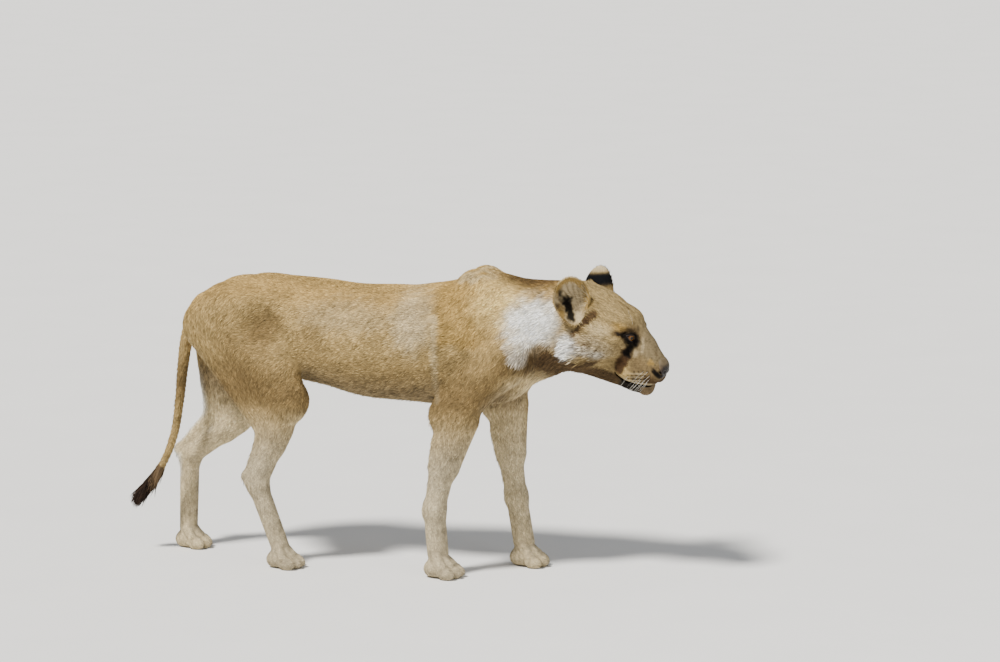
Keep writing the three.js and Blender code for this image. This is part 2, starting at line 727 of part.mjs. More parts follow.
// Everything below the lips, grown by some millimetres.
function belowLips(grown) {
  const outline = new THREE.Shape();
  outline.moveTo(LIPS[0][0] - grown, -FAR);
  outline.lineTo(LIPS[0][0] - grown, LIPS[0][1] + grown);
  for (const [x, z] of LIPS.slice(1)) outline.lineTo(x, z + grown);
  outline.lineTo(LIPS.at(-1)[0], -FAR);
  const region = new THREE.ExtrudeGeometry(outline, { depth: 240, steps: 24, bevelEnabled: false });
  region.rotateX(Math.PI / 2).translate(0, 120, 0);
  const p = region.attributes.position;
  for (let i = 0; i < p.count; i++) {
    if (p.getZ(i) < -FAR / 2) continue;
    const flat = lipHeight(p.getX(i), FAR);
    p.setZ(i, p.getZ(i) + lipHeight(p.getX(i), p.getY(i)) - flat);
  }
  return solidOf(region);
}

// The leather of the nose, a shield seen from the front, grown by some millimetres.
const NOSE = [[0, -18], [18, -20], [27, -30], [31, -46], [27, -58], [13, -67], [4, -80], [0, -82]];
const NOSE_BACK = 228;
function noseRegion(grown) {
  const outline = new THREE.Shape();
  const out = (y, z) => [y + Math.sign(y) * grown, z + Math.sign(z + 45) * grown];
  outline.moveTo(...out(...NOSE[0]));
  for (const [y, z] of NOSE.slice(1)) outline.lineTo(...out(y, z));
  for (const [y, z] of NOSE.slice(1, -1).reverse()) outline.lineTo(...out(-y, z));
  const region = new THREE.ExtrudeGeometry(outline, { depth: 100, bevelEnabled: false });
  region.rotateX(Math.PI / 2).rotateZ(Math.PI / 2);
  return solidOf(region.translate(NOSE_BACK - grown, 0, 0));
}

const eyeGeometry = (side, radius) => new THREE.SphereGeometry(radius, 14, 9)
  .rotateX(Math.PI / 2)
  .applyMatrix4(eyeFrame(side));

// The eye's own frame: y along the gaze, z up, x to its own left.
function eyeFrame(side) {
  const gaze = GAZE.clone().setY(GAZE.y * side).normalize();
  const above = up.clone().addScaledVector(gaze, -up.dot(gaze)).normalize();
  const across = new THREE.Vector3().crossVectors(gaze, above);
  const frame = new THREE.Matrix4().makeBasis(across, gaze, above);
  return frame.setPosition(EYE.at.x, Math.abs(EYE.at.y) * side, EYE.at.z);
}

// The opening between the lids, a slanting almond, higher at its outer corner.
function eyeOpening(side) {
  const outer = -side; // the side of the eye's frame that is away from the nose
  const shape = new THREE.Shape();
  shape.moveTo(16.5 * outer, 4.5);
  shape.quadraticCurveTo(-1 * outer, 18, -18 * outer, -7);
  shape.quadraticCurveTo(2 * outer, -14.5, 16.5 * outer, 4.5);
  const almond = new THREE.ExtrudeGeometry(shape, { depth: 45, bevelEnabled: false, curveSegments: 7 });
  almond.rotateX(Math.PI / 2).scale(1, -1, 1);
  almond.index = null;
  return turnedOut(almond).applyMatrix4(eyeFrame(side));
}

// A mirrored geometry, with its faces turned to point outwards again.
function turnedOut(geometry) {
  const p = geometry.attributes.position;
  for (let i = 0; i < p.count; i += 3) {
    const [x, y, z] = [p.getX(i), p.getY(i), p.getZ(i)];
    p.setXYZ(i, p.getX(i + 1), p.getY(i + 1), p.getZ(i + 1));
    p.setXYZ(i + 1, x, y, z);
  }
  return geometry;
}

function head() {
  let solid = headSolid.subtract(belowLips(CUT_GAP)).subtract(noseRegion(CUT_GAP));
  for (const side of [-1, 1])
    solid = solid
      .subtract(earSeat(side))
      .subtract(solidOf(eyeGeometry(side, EYE.radius + CUT_GAP)))
      .subtract(solidOf(eyeOpening(side)));
  return solid;
}

const jaw = () => headSolid.intersect(belowLips(0));
const nose = () =>
  fine(bodyFromHead, [232, -46, -78], [292, 46, 6], [2.6, 2.6, 2.6], 480).intersect(noseRegion(0));

// The outer ear: a deep cup with a rounded tip, open forwards and outwards.
const EAR = {
  centre: new THREE.Vector3(-42, 110, 65), half: 56, tall: 75, deep: 42, wall: 6,
  facesRight: new THREE.Vector3(0.5, -0.84, 0.1), facesLeft: new THREE.Vector3(0.36, 0.93, 0.1),
  tip: new THREE.Vector3(-0.34, 0.2, 0.92),
};

// A quarter of an oval, from the bottom of the cup to its rim.
const quarter = (count, wide, deep, lift) =>
  Array.from({ length: count + 1 }, (_, i) => (i / count) * (Math.PI / 2))
    .map((a) => new THREE.Vector2(Math.sin(a) * wide(a), lift - Math.cos(a) * deep));

// A turned profile shaped like the ear and set in its place on the head.
function earForm(profile, side) {
  const form = new THREE.LatheGeometry(profile, 20);
  form.scale(EAR.half, EAR.deep, EAR.tall);
  const position = form.attributes.position;
  for (let i = 0; i < position.count; i++) {
    const height = position.getZ(i) / EAR.tall;
    const narrow = height < 0 ? 1 + 0.3 * height : 1 - 0.04 * height * height;
    position.setX(i, position.getX(i) * narrow);
    position.setY(i, position.getY(i) + 10 * height * height);
  }
  const faces = (side < 0 ? EAR.facesRight : EAR.facesLeft).clone().normalize();
  const tip = EAR.tip.clone().setY(EAR.tip.y * side);
  tip.addScaledVector(faces, -tip.dot(faces)).normalize();
  const across = new THREE.Vector3().crossVectors(faces, tip);
  const frame = new THREE.Matrix4().makeBasis(across, faces, tip);
  frame.setPosition(EAR.centre.x, EAR.centre.y * side, EAR.centre.z);
  return form.applyMatrix4(frame);
}

function ear(side) {
  const thin = (a) => 1 - (EAR.wall / EAR.half) * (0.6 + 0.4 * Math.cos(a));
  const inside = quarter(6, thin, 1 - EAR.wall / EAR.deep, 0.06).reverse();
  return solidOf(earForm([...quarter(6, () => 1, 1, 0), ...inside], side));
}

// The hollow in the head that the ear sits in, open all the way out.
function earSeat(side) {
  const outside = [...quarter(6, () => 1, 1, 0), new THREE.Vector2(1, 1.4), new THREE.Vector2(0, 1.4)];
  return solidOf(swollen(earForm(outside, side), CUT_GAP));
}

// ---------------------------------------------------------------- tail

const tailLine = new THREE.CatmullRomCurve3(TAIL.map(point));
const tailRadius = (t) => TAIL_TIP + (TAIL_ROOT - TAIL_TIP) * (1 - t) ** 1.6;

// A closed tapering tube along a curve, from its start to its end.
function taperedTube(line, radiusAt, rings, sides) {
  const frames = line.computeFrenetFrames(rings, false);
  const positions = [];
  const index = [];
  for (let ring = 0; ring <= rings; ring++) {
    const centre = line.getPointAt(ring / rings);
    for (let i = 0; i < sides; i++) {
      const a = (i / sides) * 2 * Math.PI;
      const p = centre.clone()
        .addScaledVector(frames.normals[ring], Math.cos(a) * radiusAt(ring / rings))
        .addScaledVector(frames.binormals[ring], Math.sin(a) * radiusAt(ring / rings));
      positions.push(...p);
      if (ring === rings) continue;
      const [a0, b0] = [ring * sides + i, ring * sides + ((i + 1) % sides)];
      addQuad(index, positions, [a0, b0, b0 + sides, a0 + sides]);
    }
  }
  for (const [ring, flip] of [[0, true], [rings, false]]) {
    const first = ring * sides;
    for (let i = 1; i < sides - 1; i++)
      index.push(first, ...(flip ? [first + i + 1, first + i] : [first + i, first + i + 1]));
  }
  return indexed(positions, index);
}

function tailCore() {
  return solidOf(taperedTube(tailLine, tailRadius, 22, 10));
}

// One lock of the tuft: a flat tapering blade, rooted in the core, that bows outwards.
function lock(root, along, out, length, width, thick) {
  const blade = new THREE.ConeGeometry(1, 1, 4, 3);
  blade.translate(0, 0.5, 0);
  const across = new THREE.Vector3().crossVectors(along, out).normalize();
  const position = blade.attributes.position;
  for (let i = 0; i < position.count; i++) {
    const t = position.getY(i);
    const full = 0.75 + 0.9 * t * (1 - t);
    const p = root.clone()
      .addScaledVector(along, t * length)
      .addScaledVector(out, length * (0.34 * t - 0.3 * t * t) + position.getZ(i) * thick * full)
      .addScaledVector(across, position.getX(i) * width * full);
    position.setXYZ(i, p.x, p.y, p.z);
  }
  return solidOf(blade);
}

function tuft() {
  const random = seeded(7);
  const start = TUFT.start;
  const core = solidOf(taperedTube(tailLine, (t) => (t > 0.99 ? 6 : TAIL_TIP + 6 * Math.sin(
    Math.PI * clamp((t - start) / (1 - start), 0, 1))), 26, 8));
  let solid = core;
  for (let ring = 0; ring < TUFT.rings; ring++) {
    const t = start + 0.035 + (ring / (TUFT.rings - 1)) * (0.985 - start - 0.035);
    const centre = tailLine.getPointAt(t);
    const along = tailLine.getTangentAt(t);
    const side = new THREE.Vector3().crossVectors(along, up).normalize();
    const over = new THREE.Vector3().crossVectors(side, along).normalize();
    for (let i = 0; i < TUFT.locks; i++) {
      const a = ((i + (ring % 2) / 2 + 0.3 * random()) / TUFT.locks) * 2 * Math.PI;
      const out = side.clone().multiplyScalar(Math.cos(a)).addScaledVector(over, Math.sin(a));
      const root = centre.clone().addScaledVector(out, 4);
      const length = TUFT.length * (0.8 + 0.35 * random());
      solid = solid.add(lock(root, along, out, length, TUFT.width / 2, TUFT.thick / 2));
    }
  }
  return solid;
}

const tuftStart = plane(tailLine.getPointAt(TUFT.start), tailLine.getTangentAt(TUFT.start));

// ---------------------------------------------------------------- the whole animal

const coat = (colour) => new THREE.MeshStandardMaterial({ color: colour, roughness: 0.85, metalness: 0 });
const TAN = coat("#b89b6c");
const PALE = coat("#cdbb97");
const EAR_COAT = coat("#9c7d4c");
const CHIN = coat("#7d6a4e");
const TUFT_BROWN = coat("#3b2a1d");
const NOSE_LEATHER = new THREE.MeshStandardMaterial({ color: "#3f3129", roughness: 0.45, metalness: 0 });
const EYE_AMBER = new THREE.MeshStandardMaterial({ color: "#a8742c", roughness: 0.1, metalness: 0 });

function part(name, solid, material) {
  const mesh = new THREE.Mesh(geometryOf(solid), material);
  mesh.name = name;
  return mesh;
}

const lioness = new THREE.Group();
const bodySeat = solidOf(swollen(geometryOf(bodySolid), CUT_GAP));
lioness.add(part("torso", torso(), TAN));
lioness.add(part("neck", neck(), TAN));
lioness.add(part("tail", tailCore().subtract(bodySeat).intersect(tuftStart.back), TAN));
lioness.add(part("tail_tuft", tuft().intersect(tuftStart.front), TUFT_BROWN));

for (const [side, hand, fore, hind] of [
  [-1, "right", FORELEG_RIGHT, HINDLEG_RIGHT],
  [1, "left", FORELEG_LEFT, HINDLEG_LEFT],
]) {
  lioness.add(part("foreleg_" + hand, foreleg(side), TAN));
  lioness.add(part("hindleg_" + hand, hindleg(side), TAN));
  lioness.add(part("forepaw_" + hand, paw(fore.knuckle, side, FOREPAW_CUT), PALE));
  lioness.add(part("hindpaw_" + hand, paw(hind.knuckle, side, HINDPAW_CUT), PALE));
}

const headGroup = new THREE.Group();
headGroup.applyMatrix4(headMatrix);
headGroup.add(part("head", head(), TAN));
headGroup.add(part("jaw", jaw(), CHIN));
headGroup.add(part("nose", nose(), NOSE_LEATHER));
for (const [side, hand] of [[-1, "right"], [1, "left"]]) {
  headGroup.add(part("ear_" + hand, ear(side), EAR_COAT));
  headGroup.add(part("eye_" + hand, solidOf(eyeGeometry(side, EYE.radius)), EYE_AMBER));
}
lioness.add(headGroup);

// The origin goes under the middle of the bounding box.
const box = new THREE.Box3().setFromObject(lioness, true);
const middle = box.getCenter(new THREE.Vector3());
lioness.position.set(-middle.x, -middle.y, -box.min.z);

export default lioness;
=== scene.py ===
"""A life-size lioness, walking with her head carried low and turned a little to her right.

One skin covers her from nose to tail tip, with no seam. It is the surface of a distance
function: a trunk of measured oval sections with muscles and bones blended onto it, the same
as in the solid model but finer, drawn in by the depth of the coat. The coat is solid tufts
rooted all over the skin, each laid along the lie of the hair. Skin and coat take their
colours from one function of the place on the animal.

Millimetres in the animal's own frame, +X forward, +Y to her left, +Z up, until a mesh is made.
"""
import math

import bpy
import numpy as np
from mathutils import Matrix, Vector


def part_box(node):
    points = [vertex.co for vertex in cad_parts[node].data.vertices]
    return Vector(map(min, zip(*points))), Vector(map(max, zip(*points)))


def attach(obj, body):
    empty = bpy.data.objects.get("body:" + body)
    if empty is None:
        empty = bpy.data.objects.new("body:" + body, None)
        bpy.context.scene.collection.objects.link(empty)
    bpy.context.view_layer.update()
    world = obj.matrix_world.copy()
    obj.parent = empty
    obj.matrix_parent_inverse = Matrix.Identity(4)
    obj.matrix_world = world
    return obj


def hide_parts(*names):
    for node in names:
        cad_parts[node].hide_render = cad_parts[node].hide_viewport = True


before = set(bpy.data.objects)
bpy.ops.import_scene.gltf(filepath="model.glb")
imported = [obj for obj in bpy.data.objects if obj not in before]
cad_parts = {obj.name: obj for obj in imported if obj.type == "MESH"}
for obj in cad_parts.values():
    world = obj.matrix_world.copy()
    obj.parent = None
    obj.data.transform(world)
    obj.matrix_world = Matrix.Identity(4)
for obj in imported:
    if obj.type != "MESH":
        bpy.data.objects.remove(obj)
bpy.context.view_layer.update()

# ---------------------------------------------------------------- measures of the animal

FAR = 3000.0
SIDES = {-1: "right", 1: "left"}
TRUNK_ROUND = 2.3  # exponent of the oval sections, 2 is an ellipse
# x, height of the back, height of the belly, half the width, offset to her left
TRUNK = np.array([
    (-615, 790, 690, 66, 0), (-570, 830, 640, 92, 0), (-510, 858, 600, 110, 0),
    (-430, 884, 580, 120, 0), (-330, 880, 566, 126, 0), (-220, 873, 548, 137, 0),
    (-110, 861, 532, 148, 0), (0, 859, 520, 154, 0), (100, 873, 508, 151, 0),
    (180, 888, 502, 142, 0), (250, 920, 506, 130, 0), (320, 912, 528, 116, 0),
    (390, 898, 565, 104, -2), (450, 896, 592, 92, -6), (520, 897, 622, 82, -13),
    (590, 888, 660, 76, -20)], float)

HEAD_AT = np.array([601.0, -20.0, 778.0])
HEAD_PITCH = math.radians(18)
HEAD_YAW = math.radians(-9)
EYE_AT = np.array([133.0, 37.5, 10.0])  # in the head's frame, on her left
EYE_RADIUS = 20.0
GAZE = (0.82, 0.55, 0.1)
LID = 3.6  # how thick the lids are over the eyeball
LIDS_LONG = 18.2  # half the length of the opening between the lids
LID_UP = 10.4  # how far the lids open above and below its long axis
LID_DOWN = 7.6
LIDS_SLANT = (0.949, 0.316)  # cosine and sine of the angle of that axis
LIDS_MIDDLE = (0.75, -1.25)  # the opening's middle, inward of the pupil and below it
# x and height of the line between the lips
LIPS = np.array([(124, -104), (140, -112), (170, -117), (205, -116), (238, -109),
                 (262, -101), (300, -92)], float)
LIP_GROOVE = 3.6
# half the outline of the nose leather from the front, across and height
NOSE_SHIELD = np.array([(0, -18), (18, -20), (27, -30), (31, -46), (27, -58), (13, -67),
                        (4, -80), (0, -82)], float)
NOSE_BACK = 228.0
NOSTRIL = ((238, -53), (252, -62), (264, -71))  # x and height of its slit
WHISKER_SLOPE = 0.36

FORELEG_RIGHT = dict(withers=(250, 52, 878), shoulder=(362, 106, 668), elbow=(200, 122, 486),
                     wrist=(142, 116, 205), knuckle=(152, 114, 74), side=-1)
FORELEG_LEFT = dict(withers=(262, 52, 876), shoulder=(385, 106, 674), elbow=(288, 122, 492),
                    wrist=(334, 116, 212), knuckle=(358, 114, 74), side=1)
HINDLEG_RIGHT = dict(hip=(-505, 72, 746), knee=(-312, 128, 518), hock=(-414, 112, 252),
                     knuckle=(-346, 108, 66), seat=(-600, 56, 722), calf=(-371, 120, 432),
                     side=-1)
HINDLEG_LEFT = dict(hip=(-512, 72, 744), knee=(-478, 118, 474), hock=(-706, 106, 284),
                    knuckle=(-712, 104, 66), seat=(-612, 58, 716), calf=(-612, 110, 440),
                    side=1)
FOREPAW = dict(toe=15.5, spread=27.0, reach=54.0, pad=(46, 46, 34))
HINDPAW = dict(toe=14.0, spread=24.0, reach=50.0, pad=(42, 40, 33))

TAIL = np.array([
    (-590, 0, 795), (-628, 0, 765), (-656, -1, 722), (-674, -3, 664), (-686, -5, 585),
    (-698, -6, 478), (-717, -6, 372), (-758, -3, 275), (-816, 3, 200)], float)
TAIL_ROOT = 28.0
TAIL_TIP = 12.0

EAR_CENTRE = (-42.0, 110.0, 65.0)
EAR_SIZE = np.array([56.0, 42.0, 75.0])  # half width, depth, half height
EAR_WALL = 5.2
EAR_BOW = 10.0  # how far the ear's root and tip bend forward
EAR_FACES = {-1: (0.5, 0.84, 0.1), 1: (0.36, 0.93, 0.1)}  # her right ear, her left ear
EAR_TIP = (-0.34, 0.2, 0.92)

# ---------------------------------------------------------------- small helpers


def unit(v):
    v = np.asarray(v, float)
    return v / np.maximum(np.linalg.norm(v, axis=-1, keepdims=True), 1e-9)


def dot(a, b):
    return np.einsum("ij,ij->i", a, b)


def step(x, low, high):
    """0 below low, 1 above high, smooth between."""
    t = np.clip((x - low) / (high - low), 0, 1)
    return t * t * (3 - 2 * t)


def hermite(a, b, slope_a, slope_b, t):
    return ((2 * t**3 - 3 * t**2 + 1) * a + (t**3 - 2 * t**2 + t) * slope_a
            + (3 * t**2 - 2 * t**3) * b + (t**3 - t**2) * slope_b)


def between(a, b, t):
    return tuple(p + (q - p) * t for p, q in zip(a, b))


def moved(p, forward, up=0):
    return (p[0] + forward, p[1], p[2] + up)


def on_side(p, side):
    return (p[0], p[1] * side, p[2])


def folded(p):
    """The points of both sides laid over her left side."""
    return np.column_stack([p[:, 0], np.abs(p[:, 1]), p[:, 2]])


# ---------------------------------------------------------------- distance functions
# A mass is a distance function with the box that it fills.


def muscle(a, b, radius_a, radius_b, flat=1.0):
    """A tapered bone or muscle from a to b. flat below 1 makes it narrower across."""
    squeeze = np.array([1, 1 / flat, 1])
    start = np.array(a, float) * squeeze
    line = np.array(b, float) * squeeze - start
    length = line @ line
    widest = max(radius_a, radius_b)
    pad = np.array([widest, widest * flat, widest])

    def shape(p):
        q = p * squeeze - start
        t = np.clip(q @ line / length, 0, 1)
        q -= t[:, None] * line
        return np.sqrt(dot(q, q)) - radius_a - t * (radius_b - radius_a)

    return shape, np.minimum(a, b) - pad, np.maximum(a, b) + pad


def lump(centre, radii, pitch=0.0):
    """An ellipsoid, pitched nose down by some degrees."""
    centre = np.array(centre, float)
    radii = np.array(radii, float)
    turn = turn_matrix(math.radians(pitch), 0)

    def shape(p):
        q = (p - centre) @ turn / radii
        size = np.sqrt(dot(q, q))
        q /= radii
        slope = np.sqrt(dot(q, q))
        return np.where(slope < 1e-9, -radii.min(), size * (size - 1) / np.maximum(slope, 1e-9))

    return shape, centre - radii.max(), centre + radii.max()


def turn_matrix(pitch, yaw):
    cp, sp, cy, sy = math.cos(pitch), math.sin(pitch), math.cos(yaw), math.sin(yaw)
    about_y = np.array([[cp, 0, sp], [0, 1, 0], [-sp, 0, cp]])
    about_z = np.array([[cy, -sy, 0], [sy, cy, 0], [0, 0, 1]])
    return about_z @ about_y


def mirrored(mass):
    """A mass on her left and its twin on her right."""
    shape, low, high = mass
    widest = max(abs(low[1]), abs(high[1]))
    return (lambda p: shape(folded(p)), np.array([low[0], -widest, low[2]]),
            np.array([high[0], widest, high[2]]))


def smooth_min(a, b, blend):
    h = np.maximum(blend - np.abs(a - b), 0) / blend
    return np.minimum(a, b) - h * h * blend / 4


def smooth_max(a, b, blend):
    return -smooth_min(-a, -b, blend)


CUT = -1


def changed(d, p, rows):
    """The distances d at the points p after each row: a mass, the width of its blend, and CUT
    where it is taken away and not added."""
    for (shape, low, high), blend, *cut in rows:
        sign = cut[0] if cut else 1
        reach = blend + 30
        near = np.flatnonzero(np.all((p > low - reach) & (p < high + reach), axis=1))
        if len(near):
            d[near] = sign * smooth_min(sign * d[near], shape(p[near]), blend)
    return d


def table_curves():
    """The trunk's table drawn out as smooth curves at even steps."""
    xs = np.linspace(TRUNK[0, 0], TRUNK[-1, 0], 900)
    i = np.clip(np.searchsorted(TRUNK[:, 0], xs) - 1, 0, len(TRUNK) - 2)
    before, here, there, after = (
        TRUNK[np.clip(i + k, 0, len(TRUNK) - 1)] for k in (-1, 0, 1, 2))
    span = (there[:, 0] - here[:, 0])[:, None]
    slope_a = (there - before) / (there[:, :1] - before[:, :1]) * span
    slope_b = (after - here) / (after[:, :1] - here[:, :1]) * span
    return xs, hermite(here, there, slope_a, slope_b, (xs[:, None] - here[:, :1]) / span)


CURVE_X, CURVES = table_curves()


def trunk(p):
    x = p[:, 0]
    top, bottom, wide, offset = (np.interp(x, CURVE_X, CURVES[:, k]) for k in (1, 2, 3, 4))
    dy = p[:, 1] - offset
    dz = p[:, 2] - (top + bottom) / 2
    across = np.abs(dy) / wide
    up = np.abs(dz) / ((top - bottom) / 2)
    size = np.maximum((across**TRUNK_ROUND + up**TRUNK_ROUND) ** (1 / TRUNK_ROUND), 1e-6)
    radius = np.hypot(dy, dz)
    around = np.where(size < 1e-5, -FAR, radius - radius / size)
    return np.maximum(around, np.maximum(TRUNK[0, 0] - x, x - TRUNK[-1, 0]))


def tail_line(count):
    """Even points along the tail's centripetal Catmull-Rom curve."""
    rows = np.vstack([2 * TAIL[0] - TAIL[1], TAIL, 2 * TAIL[-1] - TAIL[-2]])
    points = []
    for a, b, c, d in zip(rows[:-3], rows[1:-2], rows[2:-1], rows[3:]):
        ab, bc, cd = (np.linalg.norm(q - p) ** 0.5 for p, q in ((a, b), (b, c), (c, d)))
        slope_b = ((b - a) / ab - (c - a) / (ab + bc) + (c - b) / bc) * bc
        slope_c = ((c - b) / bc - (d - b) / (bc + cd) + (d - c) / cd) * bc
        t = np.linspace(0, 1, 40, endpoint=False)[:, None]
        points.append(hermite(b, c, slope_b, slope_c, t))
    points = np.vstack(points + [TAIL[-1:]])
    run = np.concatenate([[0], np.cumsum(np.linalg.norm(np.diff(points, axis=0), axis=1))])
    return along_line(points, run, np.linspace(0, run[-1], count))


def along_line(points, run, at):
    return np.column_stack([np.interp(at, run, points[:, i]) for i in range(3)])


def tail_radius(t):
    return TAIL_TIP + (TAIL_ROOT - TAIL_TIP) * (1 - t) ** 1.6


TAIL_POINTS = tail_line(41)


def tail_masses():
    last = len(TAIL_POINTS) - 1
    return [(muscle(TAIL_POINTS[i], TAIL_POINTS[i + 1], tail_radius(i / last),
                    tail_radius((i + 1) / last)), 26 if i < 4 else 4) for i in range(last)]


def paw_masses(joint, paw, side):
    x, y, _ = joint
    pad = paw["pad"]
    masses = [(lump((x + 6, y, pad[2] - 3), pad), 14),
              (lump((x - 20, y, 24), (24, pad[1] - 14, 25)), 10)]
    for toe in range(4):
        across = toe - 1.5
        forward = paw["reach"] - across * across * 7 - (4 if across * side > 0 else 0)
        ty = y + across * paw["spread"]
        root = (x + 4, y + across * paw["spread"] * 0.7, 62)
        masses.append((muscle(root, (x + forward - 12, ty, 36), 16, paw["toe"] + 2), 9))
        masses.append((lump((x + forward, ty, 19), (29, paw["toe"] + 1, 22), 12), 7))
    return masses


def foreleg_masses(leg):
    side = leg["side"]
    withers, shoulder, elbow, wrist, knuckle = (
        on_side(leg[k], side) for k in ("withers", "shoulder", "elbow", "wrist", "knuckle"))
    return [
        (muscle(withers, shoulder, 42, 66, 0.62), 50),
        (muscle(shoulder, elbow, 66, 50, 0.68), 40),
        (muscle(moved(between(withers, shoulder, 0.45), -62), elbow, 74, 44, 0.58), 42),
        (muscle(moved(elbow, 16, -4), moved(between(elbow, wrist, 0.5), 6), 69, 48, 0.66), 26),
        (muscle(between(elbow, wrist, 0.3), wrist, 46, 33, 0.84), 26),
        (lump(moved(elbow, -42, 8), (30, 21, 38)), 34),
        (muscle(wrist, knuckle, 34, 34, 1.02), 24),
        (lump(moved(wrist, -17, -12), (17, 14, 16)), 14),
    ] + paw_masses(knuckle, FOREPAW, side)


def hindleg_masses(leg):
    side = leg["side"]
    hip, knee, hock, seat, calf, knuckle = (
        on_side(leg[k], side) for k in ("hip", "knee", "hock", "seat", "calf", "knuckle"))
    heel = moved(hock, -34, 24)
    return [
        (muscle(hip, knee, 108, 66, 0.56), 46),
        (muscle(seat, calf, 68, 50, 0.62), 46),
        (muscle(between(hip, knee, 0.35), knee, 78, 52, 0.6), 40),
        (muscle(knee, between(knee, hock, 0.5), 52, 40, 0.8), 30),
        (muscle(between(knee, hock, 0.35), hock, 45, 29, 0.78), 30),
        (muscle(calf, heel, 32, 15, 0.7), 24),
        (muscle(heel, hock, 16, 27, 0.85), 18),
        (muscle(hock, knuckle, 32, 30, 0.92), 24),
    ] + paw_masses(knuckle, HINDPAW, side)


BODY_MASSES = [
    ((trunk, np.array([-615, -160, 490]), np.array([590, 160, 930])), 10),
    (lump((-556, 0, 742), (92, 92, 88)), 40),
    (mirrored(lump((-488, 70, 782), (98, 54, 74))), 45),
    (mirrored(lump((-20, 92, 690), (250, 68, 150))), 60),
    (lump((322, 0, 610), (78, 82, 82)), 50),
    (mirrored(muscle((400, 42, 796), (560, 44, 800), 60, 50, 0.8)), 50),
    (mirrored(muscle((158, 76, 838), (162, 113, 740), 24, 28)), 30),  # the fold of skin
    (mirrored(muscle((162, 113, 740), (168, 113, 620), 28, 26)), 30),  # behind the shoulder
    *foreleg_masses(FORELEG_RIGHT), *foreleg_masses(FORELEG_LEFT),
    *hindleg_masses(HINDLEG_RIGHT), *hindleg_masses(HINDLEG_LEFT), *tail_masses(),
    (mirrored(lump((-386, 176, 742), (72, 54, 84))), 40, CUT),  # the hollow of the flank
]
HEAD_MASSES = [
    (lump((-4, 0, 40), (90, 86, 70)), 10),
    (lump((68, 0, 44), (72, 60, 47), 8), 34),
    (mirrored(lump((106, 36, 53), (34, 27, 22), 18)), 20),
    (mirrored(lump((46, 65, -24), (80, 45, 64))), 40),
    (mirrored(lump((94, 50, -14), (42, 30, 30), 16)), 26),
    (mirrored(lump((14, 58, -84), (58, 47, 50))), 40),
    (muscle((110, 0, 27), (178, 0, -12), 49, 39, 0.98), 28),
    (muscle((178, 0, -12), (236, 0, -47), 39, 27, 0.98), 8),
    (muscle((110, 0, -30), (216, 0, -62), 62, 42, 0.98), 34),
    (mirrored(lump((220, 26, -76), (42, 29, 37), 14)), 16),
    (mirrored(lump((172, 42, -84), (46, 22, 33), 8)), 20),
    (muscle((20, 0, -96), (180, 0, -111), 63, 36, 0.86), 30),
    (muscle((170, 0, -112), (222, 0, -121), 31, 26, 1.1), 16),
    (lump((246, 0, -43), (22, 26, 20), 20), 8),
    (mirrored(lump((248, 21, -54), (18, 12, 12), 10)), 6),
]


def lip_height(x, y):
    peak = 9 * np.exp(-((y / 15) ** 2)) * step(x, 215, 255)
    return np.interp(x, LIPS[:, 0], LIPS[:, 1]) + peak


def head_flesh(p):
    return changed(np.full(len(p), FAR), p, HEAD_MASSES)


def lip_groove(p):
    depth = head_flesh(p) + LIP_GROOVE + 2
    off = np.hypot(p[:, 2] - lip_height(p[:, 0], p[:, 1]),
                   np.maximum(LIPS[0, 0] + 6 - p[:, 0], 0))
    return np.maximum(off - LIP_GROOVE / 2, -depth)


FACE = [
    (mirrored(lump((159, 47, 7), (24, 14, 15), 18)), 12, CUT),  # the socket
    (mirrored(lump((178, 46, -18), (36, 11, 22), 30)), 22, CUT),
    (mirrored(muscle((272, 10, -54), (255, 24, -56), 4.8, 3.4)), 3, CUT),  # the nostril
    (mirrored(muscle((258, 24, -56), (231, 38, -54), 3.6, 2.2)), 3, CUT),
    (muscle((268, 0, -68), (262, 0, -92), 2.6, 2.6), 4, CUT),  # the cleft under the nose
    (mirrored(lump((150, 55, 14), (26, 12, 20), 10)), 8, CUT),
    (mirrored(muscle((144, 79, -8), (148, 75, -84), 13, 14)), 14, CUT),  # behind the muzzle
    (mirrored(muscle((118, 60, 36), (146, 34, 40), 8, 8)), 10),  # folds round the eye
    (mirrored(muscle((118, 70, -10), (140, 58, -22), 8, 6)), 12),
    (mirrored(lump(EYE_AT, [EYE_RADIUS + LID] * 3)), 5),
    ((lip_groove, np.array([100, -70, -140]), np.array([310, 70, -70])), 4, CUT),
]
HEAD_TURN = turn_matrix(HEAD_PITCH, HEAD_YAW)


def into_head(p):
    return (p - HEAD_AT) @ HEAD_TURN


def out_of_head(p):
    return p @ HEAD_TURN.T + HEAD_AT


def near_head(p, reach):
    return np.flatnonzero(np.linalg.norm(p - HEAD_AT, axis=1) < reach)


def own_frame(faces, above, centre, side):
    """Rows are the frame's across, forward and up for a thing that faces some way."""
    y = unit(np.array(faces) * [1, side, 1])
    z = np.array(above, float) * [1, side, 1]
    z = unit(z - y * (z @ y))
    return np.array([np.cross(y, z), y, z]), np.array(centre) * [1, side, 1]


def eye_frame(side):
    return own_frame(GAZE, (0, 0, 1), EYE_AT, side)


def ear_frame(side):
    return own_frame(EAR_FACES[side], EAR_TIP, EAR_CENTRE, side)


def between_lids(p, side):
    """Where points are by the opening between the lids, a slanting almond that is higher at
    its outer corner: along its long axis, above that axis, how far open the lids are there,
    from 1 in the middle to 0 at the corners, and how far forward along the gaze."""
    turn, centre = eye_frame(side)
    q = (p - centre) @ turn.T
    x, z = LIDS_MIDDLE[0] - side * q[:, 0], q[:, 2] - LIDS_MIDDLE[1]
    cosine, sine = LIDS_SLANT
    along, up = x * cosine + z * sine, z * cosine - x * sine
    arch = 1 - (along / LIDS_LONG) ** 2
    return along, up, arch, q[:, 1]


